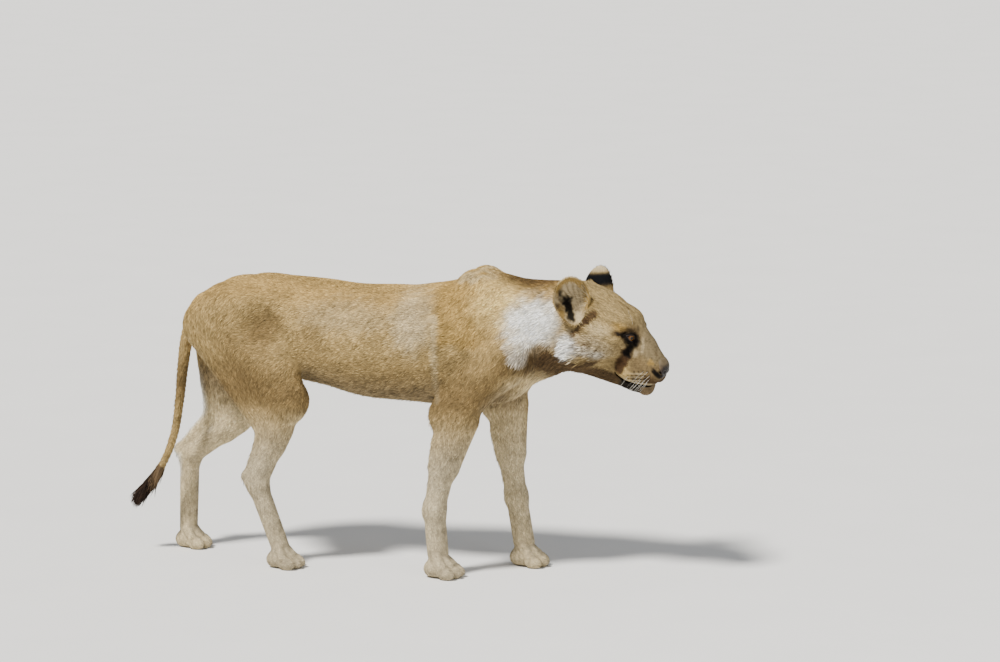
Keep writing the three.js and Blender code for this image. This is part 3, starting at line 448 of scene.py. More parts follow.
def past_lids(up, arch):
    """How far a place is above the edge of the upper lid or below that of the lower one."""
    return np.maximum(up - LID_UP * arch, -up - LID_DOWN * arch)


def almond(p, side):
    """The opening between the lids as a hole to cut."""
    _, up, arch, forward = between_lids(p, side)
    return np.maximum(past_lids(up, arch) * 0.85, 7 - forward)


def off_almonds(p):
    """Distance from the openings between the lids, on the outside of the head."""
    away = []
    for side in SIDES:
        along, up, arch, forward = between_lids(p, side)
        over = np.maximum(np.abs(along) - LIDS_LONG, 0)
        d = np.hypot(over, np.maximum(past_lids(up, np.maximum(arch, 0)), 0))
        away.append(np.where(forward > 0, d, 99))
    return np.minimum(*away)


def ear_width(h):
    """The ear narrows from its middle towards its root and its tip, h from -1 to 1."""
    return np.where(h < 0, 1 + 0.3 * h, 1 - 0.04 * h * h)


def ear_inside(p, side):
    """The hollow that the outer ear leaves in the head."""
    turn, centre = ear_frame(side)
    q = (p - centre) @ turn.T
    h = q[:, 2] / EAR_SIZE[2]
    q = np.column_stack([q[:, 0] / ear_width(h), q[:, 1] - EAR_BOW * h * h, q[:, 2]]) / (EAR_SIZE - 3)
    q[:, 1] = np.minimum(q[:, 1], 0)
    return (np.sqrt(dot(q, q)) - 1) * 46


def body(p):
    """Distance to the outside of the coat."""
    d = changed(np.full(len(p), FAR), p, BODY_MASSES)
    near = near_head(p, 380)
    if len(near):
        q = into_head(p[near])
        d[near] = smooth_min(d[near], changed(head_flesh(q), q, FACE), 46)
    return d


def body_of_head(q):
    return body(out_of_head(q))


def coat_depth(p):
    q = into_head(p)
    depth = 2.4 + 2.2 * step(p[:, 2], 230, 520)
    face = step(q[:, 0], -60, 150) * (np.linalg.norm(q, axis=1) < 400)
    return depth * (1 - face) + 1.3 * face


def skin_surface(p):
    """Distance to the skin, with the openings for the eyes and the ears."""
    d = body(p) + coat_depth(p)
    near = near_head(p, 260)
    if len(near):
        q = into_head(p[near])
        for side in SIDES:
            d[near] = smooth_max(d[near], -almond(q, side), 1.2)
            d[near] = smooth_max(d[near], -ear_inside(q, side), 2)
    return d


# ---------------------------------------------------------------- meshing


def in_chunks(function, p, size=150000):
    return np.concatenate([function(p[i:i + size]) for i in range(0, len(p), size)])


def steps(*spans):
    """Grid lines: spans are (from, to, size), each starting where the last one ended."""
    lines = [np.linspace(a, b, max(int(round((b - a) / s)), 1) + 1) for a, b, s in spans]
    return np.concatenate([lines[0]] + [line[1:] for line in lines[1:]])


def grid_values(distance, axes, block=8):
    """The distance at each grid point, worked out in full only near the surface."""
    blocks = [[a[i:i + block + 1] for i in range(0, len(a), block)] for a in axes]

    def of_blocks(measure):
        rows = [np.array([measure(b) for b in row]) for row in blocks]
        return np.stack(np.meshgrid(*rows, indexing="ij"), -1).reshape(-1, 3)

    values = in_chunks(distance, of_blocks(np.mean))
    live = np.abs(values) < np.linalg.norm(of_blocks(np.ptp), axis=1) * 0.95 + 12
    shape = [len(row) for row in blocks]
    values, live = values.reshape(shape).astype(np.float32), live.reshape(shape)
    for axis in range(3):
        values, live = np.repeat(values, block, axis), np.repeat(live, block, axis)
    inside = tuple(slice(0, len(a)) for a in axes)
    values, live = values[inside].copy(), live[inside]
    where = np.argwhere(live)
    values[live] = in_chunks(distance, np.column_stack([a[i] for a, i in zip(axes, where.T)]))
    values[values == 0] = 1e-5
    return values


def surface(distance, axes):
    """A mesh of the surface where distance is 0 (surface nets)."""
    values = grid_values(distance, axes)
    low = values < 0
    n = [c - 1 for c in values.shape]
    count = np.zeros(n, np.int8)
    corners = [(a, b, c) for a in (0, 1) for b in (0, 1) for c in (0, 1)]
    for a, b, c in corners:
        count += low[a:a + n[0], b:b + n[1], c:c + n[2]]
    cells = np.argwhere((count > 0) & (count < 8))
    number = np.full(n, -1, np.int64)
    number[tuple(cells.T)] = np.arange(len(cells))
    total = np.zeros((len(cells), 3))
    hits = np.zeros(len(cells))
    edges = [(np.array(corner), axis) for corner in corners for axis in range(3)
             if not corner[axis]]
    for corner, axis in edges:
        v0 = values[tuple((cells + corner).T)]
        v1 = values[tuple((cells + corner + np.eye(3, dtype=int)[axis]).T)]
        cross = (v0 < 0) != (v1 < 0)
        at = np.tile(corner.astype(float), (len(cells), 1))
        at[:, axis] = np.where(cross, v0 / np.where(cross, v0 - v1, 1), 0)
        total += at * cross[:, None]
        hits += cross
    points = np.column_stack([a[i] + t * (a[i + 1] - a[i])
                              for a, i, t in zip(axes, cells.T, (total / hits[:, None]).T)])
    quads = []
    for axis in range(3):
        others = [(axis + 1) % 3, (axis + 2) % 3]
        there = [slice(1, None)] * 3
        here = list(there)
        here[axis] = slice(0, -1)
        a, b = low[tuple(here)], low[tuple(there)]
        at = np.argwhere(a != b)
        outward = a[tuple(at.T)]
        at[:, others] += 1
        ring = []
        for back in ((0, 0), (1, 0), (1, 1), (0, 1)):
            cell = at.copy()
            cell[:, others] -= back
            ring.append(number[tuple(cell.T)])
        ring = np.column_stack(ring)
        ring[~outward] = ring[~outward, ::-1]
        quads.append(ring)
    points = onto(distance, points)
    return points, triangles_of(points, np.vstack(quads))


def slope_at(distance, p, h=0.6):
    return np.column_stack([
        (in_chunks(distance, p + d) - in_chunks(distance, p - d)) / (2 * h)
        for d in h * np.eye(3)])


def onto(distance, p, rounds=2):
    """The points moved onto the surface."""
    for _ in range(rounds):
        slope = slope_at(distance, p)
        move = slope * (in_chunks(distance, p) / np.maximum(dot(slope, slope), 0.25))[:, None]
        size = np.linalg.norm(move, axis=1, keepdims=True)
        p = p - move * np.minimum(1, 2.5 / np.maximum(size, 1e-9))
    return p


def triangles_of(points, quads):
    """Each quad as two triangles, split across its shorter diagonal."""
    a, b, c, d = points[quads.T]
    short = (np.linalg.norm(a - c, axis=1) < np.linalg.norm(b - d, axis=1))[:, None]
    return np.vstack([np.where(short, quads[:, [0, 1, 2]], quads[:, [0, 1, 3]]),
                      np.where(short, quads[:, [0, 2, 3]], quads[:, [1, 2, 3]])])


def mesh_normals(points, triangles):
    a, b, c = points[triangles.T]
    face = np.cross(b - a, c - a)
    total = np.zeros_like(points)
    for corner in triangles.T:
        np.add.at(total, corner, face)
    return unit(total)


def outwards(points, triangles):
    """The triangles of a closed shape with their faces pointing out."""
    a, b, c = points[triangles.T]
    return triangles if dot(a, np.cross(b, c)).sum() >= 0 else triangles[:, ::-1]


def closed_part(points, triangles, **more):
    """A closed shape as the arrays that make_piece takes."""
    triangles = outwards(points, triangles)
    return dict(points=points, triangles=triangles, normals=mesh_normals(points, triangles),
                **more)


def ring_strips(rings, sides):
    """Triangles between each ring of points and the next."""
    ring = np.arange(sides)
    after = (ring + 1) % sides
    rows = []
    for start in range(0, (rings - 1) * sides, sides):
        u, v = start + ring, start + after
        rows += [np.column_stack([u, v, v + sides]), np.column_stack([u, v + sides, u + sides])]
    return rows


def with_poles(rings, sides):
    """Triangles of rings of points closed by two poles, which are the last two points."""
    ring = np.arange(sides)
    after = (ring + 1) % sides
    last, pole = (rings - 1) * sides, np.full(sides, rings * sides)
    return np.vstack(ring_strips(rings, sides) + [np.column_stack([pole, after, ring]),
                     np.column_stack([pole + 1, last + ring, last + after])])


def tube(path, radii, sides):
    """A closed tube along a path of points in the head's frame."""
    path = out_of_head(path)
    along = unit(np.gradient(path, axis=0))
    side = unit(np.cross(along, [0.31, 0.17, 0.93]))
    a = np.linspace(0, 2 * math.pi, sides, endpoint=False)[None, :, None]
    rim = side[:, None] * np.cos(a) + np.cross(side, along)[:, None] * np.sin(a)
    last = (len(path) - 1) * sides
    ends = [[[0, k + 1, k], [last, last + k, last + k + 1]] for k in range(1, sides - 1)]
    return closed_part((path[:, None] + rim * radii[:, None, None]).reshape(-1, 3),
                       np.vstack(ring_strips(len(path), sides) + ends))


def merged(parts):
    starts = np.cumsum([0] + [len(part["points"]) for part in parts])
    out = {k: np.concatenate([part[k] for part in parts]) for k in parts[0]}
    out["triangles"] = np.concatenate([part["triangles"] + n for part, n in zip(parts, starts)])
    return out


# ---------------------------------------------------------------- colours of the coat


def linear(r, g, b):
    """A colour given as 0 to 255 in sRGB, as linear light."""
    return tuple((c / 255 / 12.92 if c <= 10 else ((c / 255 + 0.055) / 1.055) ** 2.4)
                 for c in (r, g, b))


TAN = linear(170, 144, 94)
BACK = linear(172, 140, 81)
GOLD = linear(160, 129, 68)
CREAM = linear(214, 194, 152)
STRAW = linear(224, 192, 124)
PALE = linear(196, 178, 142)
WHITE = linear(250, 249, 242)
LEG = linear(190, 178, 150)
FOREHEAD = linear(158, 136, 92)
BRIDGE = linear(132, 116, 86)
MUZZLE = linear(120, 101, 69)
# Her pale chin darkened to a mid brown by painted shade.
CHIN_IN_SHADE = linear(116, 98, 72)
# Dark brown: her own dark hair in some places, painted shade in others.
DARK_HAIR_AND_SHADE = linear(66, 46, 27)
# Brown for painted shadow under the jaw, the cheek and the neck.
THROAT_SHADOW = linear(70, 52, 34)
DARK = linear(14, 10, 7)
LIP = linear(12, 10, 9)
TUFT_DARK = linear(40, 29, 22)
TUFT_ROOT = linear(96, 78, 56)
EAR_RIM = linear(166, 136, 76)
EAR_BLACK = linear(7, 8, 12)
EAR_PALE = linear(206, 186, 146)
# Near black for painted shade at the bottom of the ear's hollow.
EAR_HOLLOW_SHADE = linear(12, 8, 5)
LEATHER = linear(44, 34, 29)
LEATHER_TOP = linear(104, 90, 66)
LEATHER_WING = linear(112, 92, 64)
EYE_WHITE = linear(36, 26, 20)
EYE_RING = linear(30, 22, 18)
# The iris is darker than the amber of a lioness's eye: painted shade of the deep socket.
IRIS = linear(88, 56, 24)
IRIS_STREAK = linear(62, 40, 18)
IRIS_INNER = linear(108, 76, 34)
PUPIL = linear(6, 5, 5)
LID_DARK = linear(34, 26, 22)
WHISKER = linear(232, 226, 212)


def all_over(colour, places):
    return np.tile(np.array(colour), (len(places), 1))


def mix(colour, other, weight):
    return colour + (np.array(other) - colour) * np.clip(weight, 0, 1)[:, None]


def blob(p, centre, radii):
    q = (p - np.array(centre)) / np.array(radii)
    return np.exp(-dot(q, q))


def spot(p, centre, radii):
    """1 over an oval, with a quick fall to 0 at its edge."""
    q = (p - np.array(centre)) / np.array(radii)
    return np.exp(-dot(q, q) ** 2)


def stripe(p, a, b, radius):
    """1 within the radius of the line from a to b, fading out over as much again."""
    a, b = np.array(a, float), np.array(b, float)
    t = np.clip((p - a) @ (b - a) / ((b - a) @ (b - a)), 0, 1)
    away = np.linalg.norm(p - a - t[:, None] * (b - a), axis=1)
    return 1 - step(away, radius * 0.6, radius * 1.5)


def dabs(c, p, rows):
    """Rows are a colour, its weight, a way to fall off and where it lies."""
    for colour, weight, shape, *place in rows:
        c = mix(c, colour, weight * shape(p, *place))
    return c


def wave(p, size, seed):
    """Smooth even noise from about -1 to 1, with features of the given size."""
    random = np.random.default_rng(seed)
    total = np.zeros(len(p))
    for _ in range(7):
        way = unit(random.normal(size=3)) / size * random.uniform(2.5, 7)
        total += np.sin(p @ way + random.uniform(0, 2 * math.pi))
    return total / 2.8


BODY_DABS = [  # x and height of the middle of an oval, or of the ends of a stripe
    (PALE, 0.65, spot, (86, 770), (62, 92)),
    (PALE, 0.3, spot, (-120, 780), (150, 50)),
    (STRAW, 0.85, spot, (345, 835), (84, 78)),
    # Painted sunlight on the top of the withers.
    (CREAM, 0.5, spot, (255, 905), (60, 16)),
    # Painted shade low on the shoulder and at the base of the neck.
    (DARK_HAIR_AND_SHADE, 0.2, spot, (262, 640), (80, 70)),
    (DARK_HAIR_AND_SHADE, 0.55, spot, (390, 660), (56, 44)),
    (WHITE, 0.3, stripe, (412, 720), (404, 682), 24),
    (WHITE, 0.93, spot, (448, 778), (86, 70)),
    # Painted shadow under the neck.
    (THROAT_SHADOW, 0.95, spot, (482, 662), (66, 46)),
    # Painted shade in the hollow of the flank and over the thigh.
    (DARK_HAIR_AND_SHADE, 0.5, spot, (-380, 738), (56, 58)),
    (DARK_HAIR_AND_SHADE, 0.34, spot, (-450, 660), (92, 92)),
    (DARK_HAIR_AND_SHADE, 0.2, spot, (-230, 690), (50, 80)),
]
TAIL_REACH = 42  # nothing but the tail is as near to the mid-plane so far back


def paint_body(p, n):
    x, y, z = p.T
    facing_in = -n[:, 1] * np.sign(y)
    c = mix(all_over(TAN, p), BACK, 0.7 * step(n[:, 2], 0.0, 0.8) * step(z, 640, 840))
    c = mix(c, LEG, 0.8 * step(-z, -540, -300) * ((x > -650) | (np.abs(y) > TAIL_REACH)))
    c = mix(c, CREAM, 0.6 * step(-n[:, 2], 0.15, 0.85) * step(z, 150, 400))
    c = mix(c, CREAM, 0.6 * step(facing_in, 0.1, 0.8) * step(-z, -640, -520))
    flat = np.column_stack([x + 9 * wave(p, 30, 18), z + 9 * wave(p, 22, 19)])
    fine = np.column_stack([x + 2 * wave(p, 20, 27), z])
    # The golden patch on the shoulder: her own golden colour, darkened as painted shade where the
    # shoulder faces from the light. The pale stripe along the fold behind it is a painted highlight
    # on the fold's lit edge.
    patch = step(fine[:, 0], 150, 166) * (1 - step(x, 250, 345)) * step(flat[:, 1], 692, 716)
    c = mix(c, GOLD, 0.6 * patch * (1 - step(z, 860, 920)))
    c = mix(c, CREAM, 0.4 * stripe(fine, (156, 790), (158, 540), 9))
    c = dabs(c, flat, BODY_DABS)
    nape = spot(np.column_stack([x, y + 6]), (425, 0), (130, 62)) * step(n[:, 2], 0.3, 0.7)
    c = mix(c, DARK_HAIR_AND_SHADE, 0.85 * nape)
    # Painted shade low on the flank and belly.
    c = mix(c, DARK_HAIR_AND_SHADE, 0.58 * step(-z, -690, -550) * step(z, 440, 540) * (1 - step(x, 330, 420)))
    c = mix(c, CREAM, 0.3 * step(n[:, 0], 0.2, 0.9) * step(x, 330, 420) * step(-z, -640, -540))
    # Her left hind leg's back made white: pale hair brightened by painted sunlight from behind, on
    # that side only.
    lit_leg_backs = step(-n[:, 0], 0.25, 0.9) * step(-x, 380, 560) * step(-z, -600, -420) * step(z, 200, 300)
    c = mix(c, WHITE, 0.75 * lit_leg_backs * (y > 0))
    tip = step(-z, -300, -215) * step(-x, 690, 740) * (np.abs(y) < TAIL_REACH)
    c = mix(c, TUFT_DARK, tip)
    shade = 1 + 0.07 * wave(p, 90, 3) + 0.08 * wave(p * [0.5, 1, 1], 26, 4)
    shade += 0.14 * wave(p * [1, 0.3, 0.4], 11, 14) + 0.15 * wave(p, 6, 24)
    return c * shade[:, None]


def whisker_rows():
    """Roots of the whiskers on the pad, in the head's frame on her left."""
    rows = []
    for row, height in enumerate((-59, -71, -83, -93)):
        for k in range(5 + (row in (1, 2))):
            x = 240 - 12 * k - 3 * (row % 2)
            rows.append((x, height - WHISKER_SLOPE * (240 - x)))
    return rows


HEAD_DABS = [
    (TAN, 0.6, blob, (40, 75, -20), (60, 40, 45)),
    (CREAM, 0.5, spot, (62, 84, 6), (36, 30, 22)),
    (GOLD, 0.75, spot, (112, 62, 34), (24, 22, 12)),
    (STRAW, 0.6, spot, (158, 58, -92), (26, 24, 24)),
    (GOLD, 0.6, spot, (10, 90, 70), (16, 22, 14)),
    (GOLD, 0.8, spot, (225, 36, -38), (10, 12, 8)),
    (PALE, 0.75, spot, (60, 92, -42), (62, 50, 32)),
    (WHITE, 0.3, stripe, (10, 98, -66), (80, 88, -60), 16),
    (WHITE, 1.0, spot, (-18, 96, -80), (36, 46, 42)),
    (CREAM, 0.4, spot, (172, 44, -30), (10, 16, 12)),
    # Painted shadow of the ear, cast on the head in front of its root.
    (DARK_HAIR_AND_SHADE, 0.9, stripe, (34, 88, 50), (18, 100, 20), 12),
    (DARK_HAIR_AND_SHADE, 0.8, stripe, (18, 100, 20), (-4, 105, -28), 10),
    (DARK_HAIR_AND_SHADE, 0.7, spot, (16, 82, 92), (8, 16, 6)),
    (DARK_HAIR_AND_SHADE, 0.4, stripe, (130, 12, 60), (215, 10, -8), 5),
    (DARK_HAIR_AND_SHADE, 0.4, stripe, (44, 16, 110), (122, 18, 78), 5),
    # Painted shadow under the cheek.
    (THROAT_SHADOW, 0.9, stripe, (64, 90, -104), (140, 60, -86), 18),
    (DARK_HAIR_AND_SHADE, 0.6, spot, (222, 19, -16), (14, 7, 9)),
    # Painted shade on the front of the whisker pad.
    (DARK_HAIR_AND_SHADE, 0.8, spot, (238, 44, -92), (24, 34, 20)),
]
# Dark round the eye: the spot over it and the line from its outer corner are her own marks; the broad
# dark over the whole socket and down the valley between cheek and muzzle is painted shade, over a
# narrow tear mark of her own.
EYE_MARKS_AND_SHADE = [
    (DARK_HAIR_AND_SHADE, 0.8, spot, (142, 46, 22), (30, 28, 30)),
    (DARK_HAIR_AND_SHADE, 0.7, stripe, (130, 54, 14), (108, 76, 16), 10),
    (DARK, 0.7, spot, (134, 46, 36), (10, 14, 9)),
    (DARK, 0.98, spot, (150, 44, 6), (25, 28, 24)),
    (DARK, 0.9, stripe, (130, 54, 12), (112, 72, 14), 7),
    (CREAM, 0.3, stripe, (178, 30, 18), (188, 32, -16), 6),
    (DARK_HAIR_AND_SHADE, 0.95, stripe, (152, 52, -30), (148, 62, -62), 16),
    (DARK, 0.98, stripe, (158, 38, 0), (153, 52, -34), 13),
    (DARK_HAIR_AND_SHADE, 0.9, stripe, (148, 62, -62), (138, 62, -84), 16),
]
MUZZLE_LINES = ((-71, 0.35), (-82, 0.75), (-93, 0.6))  # height at the nose, weight


def nostrils(c, q, fade=1):
    for start, end in zip(NOSTRIL[:-1], NOSTRIL[1:]):
        line = stripe(q[:, [0, 2]], start, end, 5.2) * (np.abs(q[:, 1]) > 12)
        c = mix(c, DARK, 0.98 * line * fade)
    return c


def paint_head(q):
    x, y, z = q.T
    m = folded(q)
    on_pad = m[:, 1] > 24
    c = mix(all_over(FOREHEAD, q), BRIDGE, step(x, 120, 190) * step(z, -60, -20))
    c = mix(c, MUZZLE, step(x, 130, 190) * step(-z, 20, 50))
    ragged = m + 3 * np.column_stack([wave(q, 16, 20), 0 * x, wave(q, 12, 21)])
    c = dabs(c, ragged, HEAD_DABS)
    flecks = step(wave(q, 7, 15), -0.3, 0.8) * blob(m, (52, 90, -46), (90, 50, 50))
    flecks += 0.5 * step(wave(q, 15, 31), 0, 0.9) * blob(m, (34, 90, -52), (70, 50, 34))
    c = mix(c, DARK_HAIR_AND_SHADE, 0.8 * flecks)
    ticks = step(wave(q, 5, 25), 0.1, 0.9) * step(z, 10, 60) * (1 - step(x, 110, 170))
    c = mix(c, DARK_HAIR_AND_SHADE, 0.3 * ticks)
    # Painted shadow under the jaw.
    c = mix(c, THROAT_SHADOW, 0.9 * step(-z, 100, 116) * (1 - step(x, 140, 175)))
    c = dabs(c, ragged, EYE_MARKS_AND_SHADE)
    c = mix(c, DARK, 0.97 * (1 - step(off_almonds(q), 5, 11)) * (x > 90))
    over_lip = z - lip_height(x, y)
    c = mix(c, CREAM, 0.55 * step(over_lip, 2, 5) * (1 - step(over_lip, 9, 14)) * step(x, 150, 170))
    for wx, wz in whisker_rows():
        c = mix(c, DARK, 0.8 * (1 - step(np.hypot(x - wx, z - wz), 1.6, 3.6)) * on_pad)
    drop = z + WHISKER_SLOPE * (240 - x)
    for height, weight in MUZZLE_LINES:
        line = 1 - step(np.abs(drop - height + 2.5 * wave(q, 9, 26)), 1.0, 3.8)
        line *= step(x, 178, 196) * (1 - step(x, 222, 240)) * on_pad
        c = mix(c, DARK, weight * line * step(wave(q, 7, 28), -0.9, 0.1))
        pale = 1 - step(np.abs(drop - height - 6), 1, 3.5)
        c = mix(c, CREAM, 0.35 * pale * step(x, 170, 190) * (1 - step(x, 215, 232)) * on_pad)
    # Painted shade on the front of the upper lip below the nose.
    c = mix(c, DARK_HAIR_AND_SHADE, 0.9 * spot(m, (254, 18, -92), (16, 24, 15)))
    # Her pale chin darkened as painted shade.
    c = mix(c, CHIN_IN_SHADE, 0.95 * step(x, 206, 226) * step(-over_lip, 0, 4))
    c = mix(c, LIP, (1 - step(np.abs(over_lip), 2.5, 5)) * step(x, 138, 152))
    # The black lower lip, and below it a band of painted shadow down the front of the chin.
    below = step(-over_lip, 0, 4) * (1 - step(-over_lip, 28, 42))
    c = mix(c, LIP, 0.96 * below * step(x, 140, 160) * (1 - step(x, 210, 226)))
    rim = np.maximum(shield(q), 0)
    c = mix(c, DARK, 0.6 * (1 - step(rim, 0.5, 4)) * step(x, 225, 236) * step(-z, 40, 56))
    c = nostrils(c, q, step(x, 230, 244))
    shade = 1 + 0.06 * wave(q, 50, 5) + 0.12 * wave(q, 12, 6) + 0.17 * wave(q, 5, 16)
    return c * shade[:, None]


EAR_DABS = [  # towards the back of the head, height
    # The dark at the bottom of the cup is painted shade of the ear's hollow.
    (EAR_HOLLOW_SHADE, 0.98, spot, (10, -4), (22, 17)),
    (EAR_HOLLOW_SHADE, 0.98, stripe, (9, -12), (5, -54), 11),
    (EAR_HOLLOW_SHADE, 0.9, spot, (30, 24), (10, 20)),
    (GOLD, 0.9, spot, (34, -42), (13, 32)),
    (DARK_HAIR_AND_SHADE, 0.85, spot, (42, -14), (8, 8)),
    (DARK_HAIR_AND_SHADE, 0.85, spot, (24, -66), (10, 9)),
    (EAR_PALE, 0.9, spot, (-11, -14), (10, 13)),
    (DARK_HAIR_AND_SHADE, 0.8, spot, (-19, -36), (7, 6)),
    (CREAM, 0.95, spot, (-2, -78), (12, 9)),
    (CREAM, 0.75, spot, (-22, -56), (13, 24)),
]


def paint_ear(q, inner, side):
    """q is in the ear's own frame, across, forward and up."""
    h = q[:, 2] / EAR_SIZE[2]
    outer = 1 - inner
    back = mix(all_over(TAN, q), EAR_BLACK, step(h, 0.0, 0.3) * (1 - step(h, 0.62, 0.84)) * outer)
    back = mix(back, EAR_PALE, step(h, 0.66, 0.9) * outer)
    flat = np.column_stack([-side * q[:, 0], q[:, 2]])
    edge = np.hypot(flat[:, 0] / EAR_SIZE[0], flat[:, 1] / EAR_SIZE[2])
    fan = np.arctan2(flat[:, 1] + 70, flat[:, 0] + 30)
    streak = 0.5 + 0.5 * np.sin(fan * 46 + 0.6 * wave(q, 14, 17))
    cup = mix(all_over(EAR_PALE, q), DARK_HAIR_AND_SHADE, 0.55 * streak ** 1.5 * (1 - edge ** 3).clip(0, 1))
    cup = dabs(cup, flat + 2.6 * np.column_stack([wave(q, 9, 29), wave(q, 9, 30)]), EAR_DABS)
    front_top = step(flat[:, 1] - 0.9 * flat[:, 0], -40, 10)
    cup = mix(cup, EAR_RIM, 0.95 * step(edge + 0.03 * wave(q, 9, 22), 0.6, 0.78) * front_top)
    cup = mix(cup, TAN, 0.8 * step(edge, 0.86, 0.94) * (1 - front_top))
    return mix_rows(back, cup, inner)


def mix_rows(a, b, share):
    return a + (b - a) * share[:, None]


def shield(q):
    """Signed distance from the outline of the nose leather, seen from the front."""
    p = folded(q)[:, 1:]
    best = np.full(len(p), 1e9)
    inside = np.zeros(len(p), bool)
    for a, b in zip(NOSE_SHIELD[:-1], NOSE_SHIELD[1:]):
        t = np.clip((p - a) @ (b - a) / ((b - a) @ (b - a)), 0, 1)
        best = np.minimum(best, np.linalg.norm(p - a - t[:, None] * (b - a), axis=1))
        level = (a[1] > p[:, 1]) != (b[1] > p[:, 1])
        cross = (b[0] - a[0]) * (p[:, 1] - a[1]) / np.where(b[1] == a[1], 1e-9, b[1] - a[1]) + a[0]
        inside ^= level & (p[:, 0] < cross)
    return np.where(inside, -best, best)


def head_share(p):
    """0 on the body, 1 on the head, with a soft change over the neck."""
    q = into_head(p)
    return step(q[:, 0], -90, -30) * (np.linalg.norm(q, axis=1) < 420)


def paint(p, n):
    share = head_share(p)[:, None]
    return paint_body(p, n) * (1 - share) + paint_head(into_head(p)) * share


# ---------------------------------------------------------------- the lie of the coat
# A guide is a line on the body and the way that the hair points near it.

MIDDLE_GUIDES = [
    ((-560, 0, 840), (200, 0, 900), (-1, 0, -0.12)),
    ((250, 0, 920), (540, -15, 890), (-1, 0, -0.05)),
    ((-610, 0, 760), (-560, 0, 830), (-0.6, 0, -0.8)),
    ((390, 0, 560), (560, -15, 640), (-0.5, 0, -0.85)),
]
SIDE_GUIDES = [
    ((-440, 120, 700), (140, 140, 700), (-1, 0, -0.32)),
    ((-400, 60, 575), (140, 80, 515), (-1, 0, -0.15)),
    ((300, 95, 800), (540, 70, 800), (-0.85, 0, -0.5)),
    ((360, 80, 650), (540, 60, 700), (-0.7, 0, -0.7)),
]
HEAD_MIDDLE_GUIDES = [
    ((60, 0, 110), (-80, 0, 110), (-1, 0, 0)),
    ((130, 0, 80), (60, 0, 100), (-0.9, 0, 0.4)),
    ((245, 0, -25), (130, 0, 70), (-0.85, 0, 0.5)),
]
HEAD_SIDE_GUIDES = [
    ((60, 65, 50), (-30, 80, 60), (-1, 0.1, 0.1)),
    ((110, 60, -20), (0, 85, -40), (-1, 0.1, -0.25)),
    ((165, 45, -15), (140, 55, -30), (-0.9, 0.3, -0.25)),
    ((240, 35, -70), (180, 55, -80), (-0.8, 0.45, -0.4)),
    ((200, 30, -125), (70, 60, -130), (-0.9, 0.1, -0.4)),
    ((225, 10, -140), (200, 20, -145), (-0.6, 0.1, -0.8)),
    ((30, 90, -80), (-20, 80, -110), (-0.85, 0.2, -0.6)),
]


def both_sides(rows):
    return [[on_side(v, side) for v in row] for side in SIDES for row in rows]


def leg_guides(leg, names, first_way=None):
    """Guides down a leg. One that starts with a way for its first stretch ends in a paw."""
    at = [np.array(on_side(leg[k], leg["side"]), float) for k in names]
    rows = [(a, b, b - a) for a, b in zip(at[:-1], at[1:])]
    if first_way:
        rows[0] = (at[0], at[1], first_way)
        rows.append((at[-1] + [0, 0, -20], at[-1] + [62, 0, -40], (1, 0, -0.35)))
    return rows


def lie_guides():
    rows = MIDDLE_GUIDES + both_sides(SIDE_GUIDES)
    for leg in (FORELEG_RIGHT, FORELEG_LEFT):
        names = ("withers", "shoulder", "elbow", "wrist", "knuckle")
        rows += leg_guides(leg, names, (-0.45, 0, -0.9))
    for leg in (HINDLEG_RIGHT, HINDLEG_LEFT):
        rows += leg_guides(leg, ("hip", "knee", "hock", "knuckle"), (-0.5, 0, -0.85))
        rows += leg_guides(leg, ("seat", "calf"))
    rows += [(a, b, b - a) for a, b in zip(TAIL_POINTS[:-1], TAIL_POINTS[1:])]
    for guide in HEAD_MIDDLE_GUIDES + both_sides(HEAD_SIDE_GUIDES):
        a, b, way = np.array(guide, float)
        rows.append((out_of_head(a), out_of_head(b), way @ HEAD_TURN.T))
    return rows


def lie_of(p, n):
    """The way that the hair points at each place of the skin."""
    total = np.zeros_like(p)
    for a, b, way in lie_guides():
        a, b, way = np.array(a, float), np.array(b, float), unit(way)
        t = np.clip((p - a) @ (b - a) / max((b - a) @ (b - a), 1), 0, 1)
        away = p - a - t[:, None] * (b - a)
        total += way / ((dot(away, away) + 150) ** 2)[:, None]
    return flattened(unit(total), n)


def flattened(way, n):
    return unit(way - n * dot(way, n)[:, None])


def strayed(lie, normal, angle):
    """The lie turned on the skin by an angle."""
    return unit(lie * np.cos(angle)[:, None] + np.cross(normal, lie) * np.sin(angle)[:, None])


def length_of(p, n):
    """How long the coat is, in millimetres."""
    x, _, z = p.T
    m = folded(into_head(p))
    body_hair = 6.2 + 2 * step(z, 60, 200) + 3.4 * step(z, 300, 560)
    under = step(-n[:, 2], 0.2, 0.8) * step(z, 420, 500)
    body_hair += 7 * under + 3 * step(x, 300, 420)
    head_hair = 3.4 + 9 * step(-m[:, 0], -215, -20)
    head_hair += 14 * blob(m, (0, 92, -95), (42, 46, 40)) + 6 * step(-m[:, 2], 120, 145)
    share = head_share(p)
    return body_hair * (1 - share) + head_hair * share


# ---------------------------------------------------------------- tufts

UV_PATCH = 0.0012  # half the size of a tuft's patch
CHART_GAP = 0.03  # free edge of each chart, beside the chart's size
ROOT_DEPTH = 0.9  # how deep a tuft is rooted in the skin


